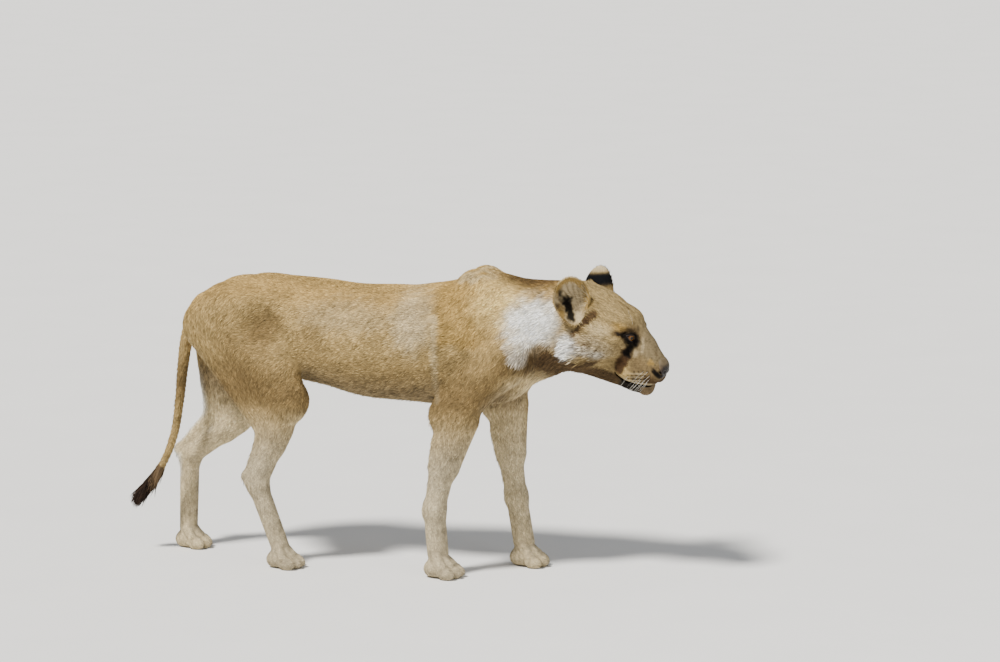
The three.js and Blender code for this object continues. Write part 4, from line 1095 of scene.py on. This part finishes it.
def build_tufts(root, normal, lie, length, width, lift, colour, seed, sections=1, bend=0.0,
                droop=0.0, base=0.5, tip=1.24):
    """Solid tapering tufts: each is a run of three-cornered sections that ends in a point.
    lift is how steeply it leaves the skin, bend how much it turns up again or over, and base
    and tip are how bright it is at its two ends."""
    random = np.random.default_rng(seed)
    count = len(root)
    single = sections == 1
    across = unit(np.cross(normal, lie))
    s = np.linspace(0, 1, sections + 1)[:-1]
    girth = [1.0] if single else (0.72 + 1.1 * s) * (1 - s) ** 0.75
    length, width = length[:, None], width[:, None]
    lift = np.broadcast_to(lift, (count,))[:, None]
    down = np.array([0, 0, -droop])

    def centre(t):
        rise = lift * t + bend * t * t
        return root + lie * length * t + normal * (length * rise - ROOT_DEPTH) + down * length * t * t

    points, shades = [], []
    for t, g in zip(s, girth):
        c = centre(t)
        half = across * width * g / 2
        top = centre(min(t + 0.3, 0.9)) if single else c
        points += [c - half, c + half, top + normal * width * g * 0.32]
        # Painted shade at the root, and painted light towards the tip and on a short tuft's raised
        # top edge.
        shade = base + (tip - base) * t
        shades += [shade, shade, shade + (0.16 if single else 0.05)]
    points.append(centre(1.0))
    shades.append(tip)
    per = len(points)
    block = np.stack(points, 1)
    sides = ((0, 1), (1, 2), (2, 0))
    faces = [(0, 2, 1)]
    for a in range(0, per - 4, 3):
        for i, j in sides:
            faces += [(a + i, a + j, a + j + 3), (a + i, a + j + 3, a + i + 3)]
    faces += [(per - 4 + i, per - 4 + j, per - 1) for i, j in sides]
    faces = outwards(block[0], np.array(faces))
    triangles = (faces[None] + np.arange(count)[:, None, None] * per).reshape(-1, 3)
    vary = 1 + 0.3 * random.normal(size=(count, 1)).clip(-2, 2)
    warm = 1 + 0.03 * random.normal(size=(count, 1)) * np.array([[0.6, 0, -1.2]])
    light = (colour @ [0.3, 0.6, 0.1])[:, None, None] ** 2
    shades = np.array(shades)[None, :, None]
    tone = (colour * vary * warm)[:, None, :] * (shades + (1 - shades) * 0.75 * light)
    tilt = 0.36 * random.normal(size=(count, 1)) * across + 0.12 * lie
    soft = np.repeat(unit(normal + tilt)[:, None], per, 1)
    corner = UV_PATCH * np.array([((-1, 1, 0)[i % 3] if i < per - 1 else 0,
                                   2 * (i // 3) / len(s) - 1) for i in range(per)])
    uv = unwrap(root, normal)[:, None] + corner[None]
    return dict(points=block.reshape(-1, 3), triangles=triangles, colours=tone.reshape(-1, 3),
                normals=soft.reshape(-1, 3), uv=uv.reshape(-1, 2))


def unwrap(p, n):
    """Six flat charts of the skin's own shape, one for each way that it can face."""
    low, high = p.min(0), p.max(0)
    q = (p - low) / np.maximum(high - low, 1)
    axis = np.abs(n).argmax(1)
    facing = np.take_along_axis(n, axis[:, None], 1)[:, 0] > 0
    u = np.where(axis == 0, q[:, 1], q[:, 0])
    v = np.where(axis == 2, q[:, 1], q[:, 2])
    size = 1 - 2 * CHART_GAP
    return np.column_stack([(axis + CHART_GAP + size * u) / 3,
                            (facing + CHART_GAP + size * v) / 2])


def rooted(points, triangles, normals, density, seed):
    """Roots spread evenly over a surface, its normals there, and a way to read its values."""
    random = np.random.default_rng(seed)
    a, b, c = points[triangles.T]
    area = np.linalg.norm(np.cross(b - a, c - a), axis=1) / 2
    share = area * density[triangles].mean(1)
    run = np.cumsum(share) + random.random()
    counts = np.diff(np.floor(np.concatenate([[0], run]))).astype(int)
    which = triangles[np.repeat(np.arange(len(triangles)), counts)]
    u, v = random.random((2, len(which)))
    flip = u + v > 1
    u[flip], v[flip] = 1 - u[flip], 1 - v[flip]
    weights = np.column_stack([1 - u - v, u, v])

    def there(values):
        return np.einsum("ij,ijk->ik", weights, values.reshape(len(points), -1)[which])

    return there(points), unit(there(normals)), there


# ---------------------------------------------------------------- making Blender meshes

eye_low, eye_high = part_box("eye_right")
SHIFT = np.array((eye_low + eye_high) / 2) * 1000 - out_of_head(EYE_AT * [1, -1, 1])


def make_piece(name, part, material, stands_for=()):
    """A piece from the arrays of its part: points, triangles, normals, and colours and uv
    where it has them."""
    triangles = part["triangles"]
    mesh = bpy.data.meshes.new(name)
    place = (part["points"] + SHIFT) / 1000
    place[:, 2] = np.maximum(place[:, 2], 0)
    mesh.vertices.add(len(place))
    mesh.vertices.foreach_set("co", place.astype(np.float32).ravel())
    mesh.loops.add(3 * len(triangles))
    mesh.loops.foreach_set("vertex_index", triangles.astype(np.int32).ravel())
    mesh.polygons.add(len(triangles))
    mesh.polygons.foreach_set("loop_start", np.arange(0, 3 * len(triangles), 3, dtype=np.int32))
    mesh.polygons.foreach_set("use_smooth", np.ones(len(triangles), bool))
    mesh.update(calc_edges=True)
    if "colours" in part:
        layer = mesh.color_attributes.new("Coat", "FLOAT_COLOR", "POINT")
        rgba = np.ones((len(place), 4), np.float32)
        rgba[:, :3] = np.clip(part["colours"], 0, 1)
        layer.data.foreach_set("color", rgba.ravel())
    if "uv" in part:
        layer = mesh.uv_layers.new(name="OFBake")
        layer.data.foreach_set("uv", part["uv"][triangles.ravel()].astype(np.float32).ravel())
    mesh.materials.append(material)
    mesh.normals_split_custom_set_from_vertices(part["normals"].astype(np.float32))
    piece = bpy.data.objects.new(name, mesh)
    bpy.context.scene.collection.objects.link(piece)
    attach(piece, "root")
    if stands_for:
        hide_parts(*stands_for)
    return piece


# ---------------------------------------------------------------- materials


def node_of(tree, kind, **values):
    """A node of some kind, with the values of its sockets."""
    node = tree.nodes.new("ShaderNode" + kind)
    for socket, value in values.items():
        node.inputs[socket.replace("_", " ")].default_value = value
    return node


def surface_material(name, roughness, specular, grain, light, flat=None, bump=None,
                     pebbles=None):
    """A material whose colour is the mesh's own, or a flat one, made lighter and darker by a
    grain of some scale, detail and any stretch. light is the darkest and lightest that it
    gets. bump is a strength and a depth, of the grain or of pebbles of the given scale."""
    material = bpy.data.materials.new(name)
    material.use_nodes = True
    tree, link = material.node_tree, material.node_tree.links.new
    shader = tree.nodes["Principled BSDF"]
    shader.inputs["Roughness"].default_value = roughness
    shader.inputs["Specular IOR Level"].default_value = specular
    scale, detail, *stretch = grain
    place = node_of(tree, "TexCoord").outputs["Object"]
    noise = node_of(tree, "TexNoise", Scale=scale, Detail=detail)
    if stretch:
        mapping = node_of(tree, "Mapping", Scale=stretch[0])
        link(place, mapping.inputs["Vector"])
        link(mapping.outputs["Vector"], noise.inputs["Vector"])
    else:
        link(place, noise.inputs["Vector"])
    ramp = node_of(tree, "MapRange", From_Min=0.3, From_Max=0.7, To_Min=light[0], To_Max=light[1])
    link(noise.outputs["Fac"], ramp.inputs["Value"])
    shaded = node_of(tree, "VectorMath")
    shaded.operation = "SCALE"
    if flat:
        shaded.inputs[0].default_value = flat
    else:
        own = node_of(tree, "Attribute")
        own.attribute_name = "Coat"
        link(own.outputs["Color"], shaded.inputs[0])
    link(ramp.outputs["Result"], shaded.inputs["Scale"])
    link(shaded.outputs["Vector"], shader.inputs["Base Color"])
    if bump:
        relief = node_of(tree, "Bump", Strength=bump[0], Distance=bump[1])
        height = noise.outputs["Fac"]
        if pebbles:
            relief.invert = True
            cells = node_of(tree, "TexVoronoi", Scale=pebbles)
            link(place, cells.inputs["Vector"])
            height = cells.outputs["Distance"]
        link(height, relief.inputs["Height"])
        link(relief.outputs["Normal"], shader.inputs["Normal"])
    return material


SKIN_FUR = surface_material("skin_fur", 0.85, 0.1, (260, 4, (0.35, 1, 1)), (0.8, 1.06),
                            bump=(0.5, 0.0016))
COAT_FUR = surface_material("coat_fur", 0.8, 0.12, (22, 3), (0.93, 1.06))
NOSE_LEATHER = surface_material("nose_leather", 0.55, 0.3, (90, 4), (0.7, 1.15),
                                bump=(0.55, 0.0008), pebbles=520)
EYE_WET = surface_material("eye_wet", 0.1, 0.25, (900, 3), (0.8, 1.2))
LID_RIM = surface_material("lid_rim", 0.5, 0.25, (700, 3), (0.7, 1.3), LID_DARK, (0.4, 0.0004))
WHISKER_HAIR = surface_material("whisker_hair", 0.4, 0.5, (60, 2), (0.85, 1.05), WHISKER)

# ---------------------------------------------------------------- skin and outer ears

SKIN_AXES = [steps((-862, 470, 6.0), (470, 890, 2.6)),
             steps((-180, -140, 4.0), (-140, 140, 3.2), (140, 180, 4.0)),
             steps((-4, 66, 3.0), (66, 560, 5.0), (560, 940, 2.8))]
UNDER_COAT = 0.68  # the skin's colour beside the coat's
FLESH = ("torso", "neck", "head", "jaw", "tail", "foreleg_right", "foreleg_left",
         "hindleg_right", "hindleg_left", "forepaw_right", "forepaw_left",
         "hindpaw_right", "hindpaw_left", "ear_right", "ear_left")


def build_skin():
    points, triangles = surface(skin_surface, SKIN_AXES)
    normals = unit(slope_at(skin_surface, points, 1.0))
    return dict(points=points, triangles=triangles, normals=normals,
                colours=paint(points, normals))


def build_ear(side, turns=84, rows=22):
    """The outer ear: a deep cup with a rounded tip and a soft rim, as one closed shell. own is
    its points in its own frame, and inner how far each is on the inside, 0 or 1."""
    a = np.linspace(0, math.pi / 2, rows + 1)
    wall = EAR_WALL / EAR_SIZE
    thin = 1 - wall[0] * (0.6 + 0.4 * np.cos(a))
    out = np.column_stack([np.sin(a), -np.cos(a)])
    rim = np.array([[1 - wall[0] * 0.18, 0.045], [1 - wall[0] * 0.6, 0.075]])
    back = np.column_stack([np.sin(a) * thin, 0.05 - np.cos(a) * (1 - wall[1])])[::-1]
    profile = np.vstack([out[1:], rim, back[:-1]])
    inner = np.concatenate([np.zeros(rows), [0.3, 0.8], np.ones(rows)])
    phi = np.linspace(0, 2 * math.pi, turns, endpoint=False)
    radius, height = profile[:, :1], profile[:, 1:]
    grid = np.stack([radius * np.sin(phi), np.repeat(height, turns, 1), radius * np.cos(phi)], -1)
    poles = np.array([[0, out[0, 1], 0], [0, back[-1, 1], 0]])
    q = np.vstack([grid.reshape(-1, 3), poles]) * (EAR_SIZE - 1.2)
    h = q[:, 2] / EAR_SIZE[2]
    q[:, 0] *= ear_width(h)
    q[:, 1] += EAR_BOW * h * h
    turn, centre = ear_frame(side)
    inner = np.concatenate([np.repeat(inner, turns), [0, 1]])
    return closed_part(out_of_head(q @ turn + centre), with_poles(len(profile), turns),
                       own=q, inner=inner, colours=paint_ear(q, inner, side))


skin = build_skin()
ears = {side: build_ear(side) for side in SIDES}


def make_skin():
    whole = merged([{k: part[k] for k in skin} for part in (skin, *ears.values())])
    whole["colours"] *= UNDER_COAT
    make_piece("skin", whole, SKIN_FUR, FLESH)


make_skin()

# ---------------------------------------------------------------- nose leather


def nose_surface(q):
    d = smooth_max(body_of_head(q) - 0.2, shield(q) - 0.4, 2.5)
    return smooth_max(d, NOSE_BACK - q[:, 0], 2)


def make_nose():
    axes = [steps((222, 296, 1.25)), steps((-42, 42, 1.25)), steps((-88, -4, 1.25))]
    q, triangles = surface(nose_surface, axes)
    m = folded(q)
    colour = mix(all_over(LEATHER, q), LEATHER_TOP, 0.85 * step(q[:, 2], -46, -28))
    colour = mix(colour, LEATHER_WING, 0.6 * spot(m, (250, 28, -44), (12, 8, 7)))
    colour = mix(nostrils(colour, q), DARK, 0.9 * spot(m, (268, 8, -54), (15, 22, 22)))
    make_piece("nose_leather", closed_part(out_of_head(q), triangles, colours=colour),
               NOSE_LEATHER, ("nose",))


make_nose()

# ---------------------------------------------------------------- eyes

CORNEA = 0.085  # how far the cornea bulges, beside the eye's radius


def make_eye(side, name, rings=60, turns=72):
    """An eyeball with its pole along the gaze, and a low bulge for the cornea."""
    turn, centre = eye_frame(side)
    a = np.concatenate([np.linspace(0, 0.72, rings // 2), np.linspace(0.75, math.pi, rings // 2)])
    a = a[1:-1]
    phi = np.linspace(0, 2 * math.pi, turns, endpoint=False)
    radius = (EYE_RADIUS * (1 + CORNEA * (1 - step(a, 0.12, 0.62))))[:, None]
    around = radius * np.sin(a)[:, None]
    forward = np.repeat(radius * np.cos(a)[:, None], turns, 1)
    q = np.stack([around * np.cos(phi), forward, around * np.sin(phi)], -1).reshape(-1, 3)
    q = np.vstack([q, [0, EYE_RADIUS * (1 + CORNEA), 0], [0, -EYE_RADIUS, 0]])
    angle = np.concatenate([np.repeat(a, turns), [0, math.pi]])
    spin = np.concatenate([np.tile(phi, len(a)), [0, 0]])
    streak = 0.5 + 0.5 * np.sin(spin * 19 + 2 * np.sin(spin * 5)) * np.sin(spin * 31 + 1)
    iris = mix(all_over(IRIS, q), IRIS_STREAK, 0.6 * streak)
    iris = mix(iris, IRIS_INNER, 0.5 * (1 - step(angle, 0.25, 0.38)))
    ring = step(angle, 0.5, 0.6) * (1 - step(angle, 0.75, 1.0))
    colour = mix_rows(mix(all_over(EYE_WHITE, q), EYE_RING, ring), iris,
                      1 - step(angle, 0.5, 0.56))
    colour = mix(colour, PUPIL, 1 - step(angle, 0.21, 0.24))
    part = closed_part(out_of_head(q @ turn + centre), with_poles(len(a), turns), colours=colour)
    make_piece(name, part, EYE_WET, (name.replace("globe", "eye"),))


def make_lid_rims():
    """The dark wet edges of the lids, lying on the eyeball all round the opening."""
    parts = []
    cosine, sine = LIDS_SLANT
    s = np.linspace(-1, 1, 40)
    for side in SIDES:
        turn, centre = eye_frame(side)
        for bulge, sign in ((LID_UP, 1), (LID_DOWN, -1)):
            along, up = LIDS_LONG * s, sign * bulge * (1 - s * s)
            x = -side * (along * cosine - up * sine - LIDS_MIDDLE[0])
            z = along * sine + up * cosine + LIDS_MIDDLE[1]
            y = np.sqrt(np.maximum((EYE_RADIUS + 0.9) ** 2 - x * x - z * z, 1))
            path = np.column_stack([x, y, z]) @ turn + centre
            parts.append(tube(path, 1.2 + 0.5 * (1 - s * s) * (sign > 0), 10))
    make_piece("lid_rims", merged(parts), LID_RIM)


for side, hand in SIDES.items():
    make_eye(side, "globe_" + hand)
make_lid_rims()

# ---------------------------------------------------------------- coat

COVER = 1.75  # how often the tufts cover the skin
RUFF = ((-2, 88, -96), (40, 40, 34))


def tuft_width(length):
    return 0.9 + 0.165 * length


def bald(p):
    """Where no fur grows: the lids' edges, inside the eyes' openings, the nose, the lips."""
    q = into_head(p)
    x = q[:, 0]
    eye = (off_almonds(q) < 2.4) & (x > 95)
    nose = (shield(q) < 1.5) & (x > NOSE_BACK - 2)
    lips = (np.abs(q[:, 2] - lip_height(x, q[:, 1])) < 2.6) & (x > 122)
    hole = np.minimum(ear_inside(q, -1), ear_inside(q, 1)) < 4
    sole = p[:, 2] < 2.5
    return ((head_share(p) > 0.5) & (eye | nose | lips | hole)) | sole


def short_coat():
    """The tufts all over the skin, laid along the lie of the hair, as build_tufts takes them."""
    points, normals = skin["points"], skin["normals"]
    length = length_of(points, normals)
    density = COVER / (0.5 * length * tuft_width(length))
    density[bald(points)] = 0
    root, normal, there = rooted(points, skin["triangles"], normals, density, 11)
    kept = ~bald(root)
    root, normal = root[kept], normal[kept]
    lie = unit(there(lie_of(points, normals))[kept])
    random = np.random.default_rng(12)
    stray = 0.16 * wave(root, 60, 8) + 0.12 * wave(root, 18, 9) + 0.13 * random.normal(size=len(root))
    size = there(length)[kept, 0] * (0.8 + 0.4 * random.random(len(root)))
    cheek = blob(np.abs(into_head(root)), (0, 92, 95), (50, 50, 45))
    lift = 0.15 + 0.05 * random.random(len(root)) + 0.1 * cheek
    return (root, normal, strayed(lie, normal, stray), size, tuft_width(size), lift,
            paint(root, normal))


def region_names(p):
    """The coat piece that each root belongs to."""
    x, y, z = p.T
    side = np.where(y < np.where(x > 420, -16, 0), "right", "left")
    part = np.full(len(p), "flank", dtype=object)
    part[x < -230] = "haunch"
    part[x > 240] = "neck"
    part[(z < 500) & (x > -180)] = "foreleg"
    part[(z < 560) & (x <= -180)] = "hindleg"
    on_head = head_share(p) > 0.5
    part[on_head] = "head"
    part[on_head & (into_head(p)[:, 0] > 95)] = "face"
    return np.array([f"coat_{a}_{b}" for a, b in zip(part, side)])


def make_coat():
    fur = short_coat()
    names = region_names(fur[0])
    for name in sorted(set(names)):
        part = build_tufts(*(values[names == name] for values in fur), seed=21)
        make_piece(name, part, COAT_FUR)


def make_fringe():
    """Longer hair where it breaks the outline: ruff, throat, belly, backs of the limbs."""
    p, n = skin["points"], skin["normals"]
    m = folded(into_head(p))
    ruff = blob(m, *RUFF)
    belly = step(-n[:, 2], 0.55, 0.95) * step(p[:, 2], 480, 500) * (p[:, 0] < 420)
    throat = step(-n[:, 2], 0.3, 0.8) * (p[:, 0] > 380) * (m[:, 0] < 60)
    backs = step(-n[:, 0], 0.5, 0.9) * step(p[:, 2], 210, 300) * (1 - step(p[:, 2], 560, 640))
    chin = blob(m, (190, 10, -146), (46, 30, 14))
    want = np.maximum.reduce([
        0.030 * ruff * (ruff > 0.25), 0.006 * belly, 0.008 * throat,
        0.008 * backs * (1 - head_share(p)), 0.03 * chin * (chin > 0.3)])
    want[bald(p)] = 0
    root, normal, _ = rooted(p, skin["triangles"], n, want, 31)
    random = np.random.default_rng(32)
    stray = 0.2 * random.normal(size=len(root)) + 0.15 * wave(root, 22, 33)
    m = folded(into_head(root))
    ruff = blob(m, *RUFF)
    face = step(m[:, 0], 60, 140) * head_share(root)
    length = (19 + 13 * ruff) * (1 - face) + 9 * face
    length *= 0.8 + 0.45 * random.random(len(root))
    part = build_tufts(root, normal, strayed(lie_of(root, normal), normal, stray), length,
                       1.2 + 0.075 * length, 0.16 + 0.16 * ruff, paint(root, normal), 34,
                       sections=3, bend=0.06, droop=0.12)
    make_piece("coat_fringe", part, COAT_FUR)


def make_ear_coat(side, name):
    ear = ears[side]
    ways = ear_frame(side)[0] @ HEAD_TURN.T  # the ear's across, forward and up on the body
    near_rim = step(ear["own"][:, 1], -24, -6)
    density = 0.16 * (ear["inner"] < 0.5) + 0.13 * near_rim * (ear["inner"] > 0.5)
    root, normal, there = rooted(ear["points"], ear["triangles"], ear["normals"], density,
                                 41 + side)
    place, inner, colour = (there(ear[k]) for k in ("own", "inner", "colours"))
    out = (body(root) >= 0.5) | (inner[:, 0] >= 0.5)
    root, normal, place, inner, colour = (
        v[out] for v in (root, normal, place, inner[:, 0], colour))
    outward = unit(place[:, :1] * ways[0] * 0.8 + (place[:, 2:] + 30) * ways[2])
    random = np.random.default_rng(43 + side)
    lie = flattened(outward, normal)
    lie = flattened(unit(lie + 0.16 * random.normal(size=lie.shape)), normal)
    length = (7 + 2 * inner) * (0.75 + 0.5 * random.random(len(root)))
    short = build_tufts(root, normal, lie, length, 0.9 + 0.16 * length, 0.17, colour, 44 + side)
    make_piece(name, merged([short, ear_hair(side, ways)]), COAT_FUR)


def ear_hair(side, ways):
    """The long pale hair that springs from the front of the cup and sweeps back across it."""
    random = np.random.default_rng(51 + side)
    ear = ears[side]
    q = ear["own"]
    front = q[:, 0] * side / EAR_SIZE[0]
    height = q[:, 2] / EAR_SIZE[2]
    grows = (ear["inner"] > 0.9) & (front > 0.15) & (q[:, 1] > -38)
    grows &= (height > -0.9) & (height < 0.72)
    chosen = random.choice(np.flatnonzero(grows), 420)
    root, normal, h = ear["points"][chosen], ear["normals"][chosen], height[chosen]
    up = h[:, None]
    way = -side * ways[0] * (0.8 - 0.3 * up) + ways[2] * (0.35 + 0.5 * up) + ways[1] * 0.16
    way = unit(way + 0.12 * random.normal(size=way.shape))
    lie = unit(way - normal * dot(way, normal)[:, None] * 0.8)
    length = (20 + 20 * random.random(len(root))) * (1 - 0.35 * np.abs(h))
    length *= 0.38 + 0.62 * step(h, -0.1, 0.16)
    colour = mix(all_over(CREAM, root), DARK_HAIR_AND_SHADE, 0.8 * random.random(len(root)) ** 3 + 0.1 * h)
    return build_tufts(root, normal, lie, length, np.full(len(root), 1.3), 0.1, colour,
                       52 + side, sections=3, bend=-0.12, droop=0.05, tip=1.0)


def make_tail_tuft(count=620):
    """Long dark locks over the last of the tail, drawn together to a hanging point."""
    random = np.random.default_rng(61)
    line = tail_line(201)
    t = 0.845 + 0.155 * random.random(count) ** 0.85
    at, along = (along_line(v, np.arange(201), t * 200)
                 for v in (line, unit(np.gradient(line, axis=0))))
    side = unit(np.cross(along, [0, 0, 1.0]))
    a = 2 * math.pi * random.random(count)
    out = side * np.cos(a)[:, None] + np.cross(side, along) * np.sin(a)[:, None]
    root = at + out * (tail_radius(t) - 3)[:, None]
    full = np.sin(math.pi * np.clip((t - 0.80) / 0.24, 0, 1))
    length = 44 + 44 * full * (0.7 + 0.5 * random.random(count))
    way = unit(along + 0.22 * random.normal(size=along.shape) * 0.6 + out * 0.1)
    colour = mix(all_over(TUFT_ROOT, root), TUFT_DARK, step(t, 0.85, 0.9))
    part = build_tufts(root, out, flattened(way, out), length, 3.2 + 2.4 * random.random(count),
                       0.26, colour, 62, sections=4, bend=-0.24, droop=0.1, base=0.75, tip=1.2)
    make_piece("tail_tuft_hair", part, COAT_FUR, ("tail_tuft",))


def make_whiskers():
    random = np.random.default_rng(71)
    parts = []
    for side in SIDES:
        starts = np.array([(x, 50 * side, z) for x, z in whisker_rows()], float)
        starts = onto(body_of_head, starts, 4)
        starts[:, 1] -= side * 1.5
        s = np.linspace(0, 1, 12)[:, None]
        for start in starts:
            if random.random() < 0.45:
                continue
            length = (52 + 52 * random.random()) * (1 - 0.3 * (start[0] > 228))
            way = unit(np.array([-0.28 + 0.3 * random.random(), side * 0.75,
                                 -0.35 - 0.45 * random.random()]))
            bow = np.array([-0.2, -0.12 * side, -0.28 - 0.15 * random.random()])
            path = start + way * length * s + bow * length * s * s
            parts.append(tube(path, 0.27 * (1 - 0.8 * s[:, 0]), 5))
        s = np.linspace(0, 1, 10)[:, None]
        for k in range(4):
            start = np.array([[112 + 7 * k, side * (34 + 3 * k), 62 - 4 * k]], float)
            start = onto(body_of_head, start, 4)
            way = unit(np.array([0.15 - 0.2 * k * 0.3, side * 0.5, 0.85]))
            path = start - way + way * 36 * s + np.array([-0.35, 0.1 * side, -0.2]) * 36 * s * s
            parts.append(tube(path, 0.15 * (1 - 0.8 * s[:, 0]), 5))
    make_piece("whiskers", merged(parts), WHISKER_HAIR)


make_coat()
make_fringe()
for side, hand in SIDES.items():
    make_ear_coat(side, "coat_ear_" + hand)
make_tail_tuft()
make_whiskers()

# ---------------------------------------------------------------- floor, light and camera

AZIMUTH = math.radians(15)
ELEVATION = math.radians(9)
DISTANCE = 12.0
FLOOR_SIZE = 60.0
VIEW_MIDDLE = (0.303, 0.712)  # to the right of the animal's origin and above it, in metres
RIGHT = Vector((math.cos(AZIMUTH), math.sin(AZIMUTH), 0))
BACKWARD = Vector((math.sin(AZIMUTH) * math.cos(ELEVATION),
                   -math.cos(AZIMUTH) * math.cos(ELEVATION), math.sin(ELEVATION)))
UPWARD = BACKWARD.cross(RIGHT)


def make_floor():
    mesh = bpy.data.meshes.new("floor")
    corners = [(a * FLOOR_SIZE, b * FLOOR_SIZE, 0) for a, b in ((-1, -1), (1, -1), (1, 1), (-1, 1))]
    mesh.from_pydata(corners, [], [(0, 1, 2, 3)])
    mesh.materials.append(surface_material("floor_pale", 0.9, 0.2, (3, 2), (0.985, 1.01),
                                           (0.8, 0.795, 0.78)))
    floor = bpy.data.objects.new("floor", mesh)
    floor.location.z = -0.0005
    bpy.context.scene.collection.objects.link(floor)


def make_lights():
    """A broad sun-like key from the upper left, and a low soft fill from the right."""
    key = bpy.data.lights.new("key", "SUN")
    key.energy = 6.6
    key.angle = math.radians(10)
    key.color = (1, 0.97, 0.92)
    fill = bpy.data.lights.new("fill", "AREA")
    fill.energy = 45
    fill.size = 2.4
    level = Vector((BACKWARD.x, BACKWARD.y, 0)).normalized()
    towards = -0.4 * RIGHT + 0.42 * level + Vector((0, 0, 0.82))
    beside = 3.2 * RIGHT + 4.0 * level + Vector((0, 0, 2.1))
    shoulder = Vector((0.1, 0, 0.55))
    for data, place, aim in ((key, 6 * towards, -towards), (fill, beside, shoulder - beside)):
        light = bpy.data.objects.new(data.name, data)
        light.location = place
        light.rotation_euler = aim.to_track_quat("-Z", "Y").to_euler()
        bpy.context.scene.collection.objects.link(light)


def make_camera():
    data = bpy.data.cameras.new("camera")
    data.lens = 142.6
    data.sensor_width = 36
    data.clip_end = 200
    camera = bpy.data.objects.new("camera", data)
    right, up = VIEW_MIDDLE
    place = right * RIGHT + up * UPWARD + DISTANCE * BACKWARD + Vector(SHIFT / 1000)
    turn = Matrix((RIGHT, UPWARD, BACKWARD)).transposed().to_4x4()
    camera.matrix_world = Matrix.Translation(place) @ turn
    bpy.context.scene.collection.objects.link(camera)
    bpy.context.scene.camera = camera


def make_world():
    world = bpy.data.worlds.new("studio")
    world.use_nodes = True
    background = world.node_tree.nodes["Background"]
    background.inputs["Color"].default_value = (0.93, 0.96, 1.0, 1)
    background.inputs["Strength"].default_value = 0.42
    bpy.context.scene.world = world


make_floor()
make_world()
make_camera()
make_lights()
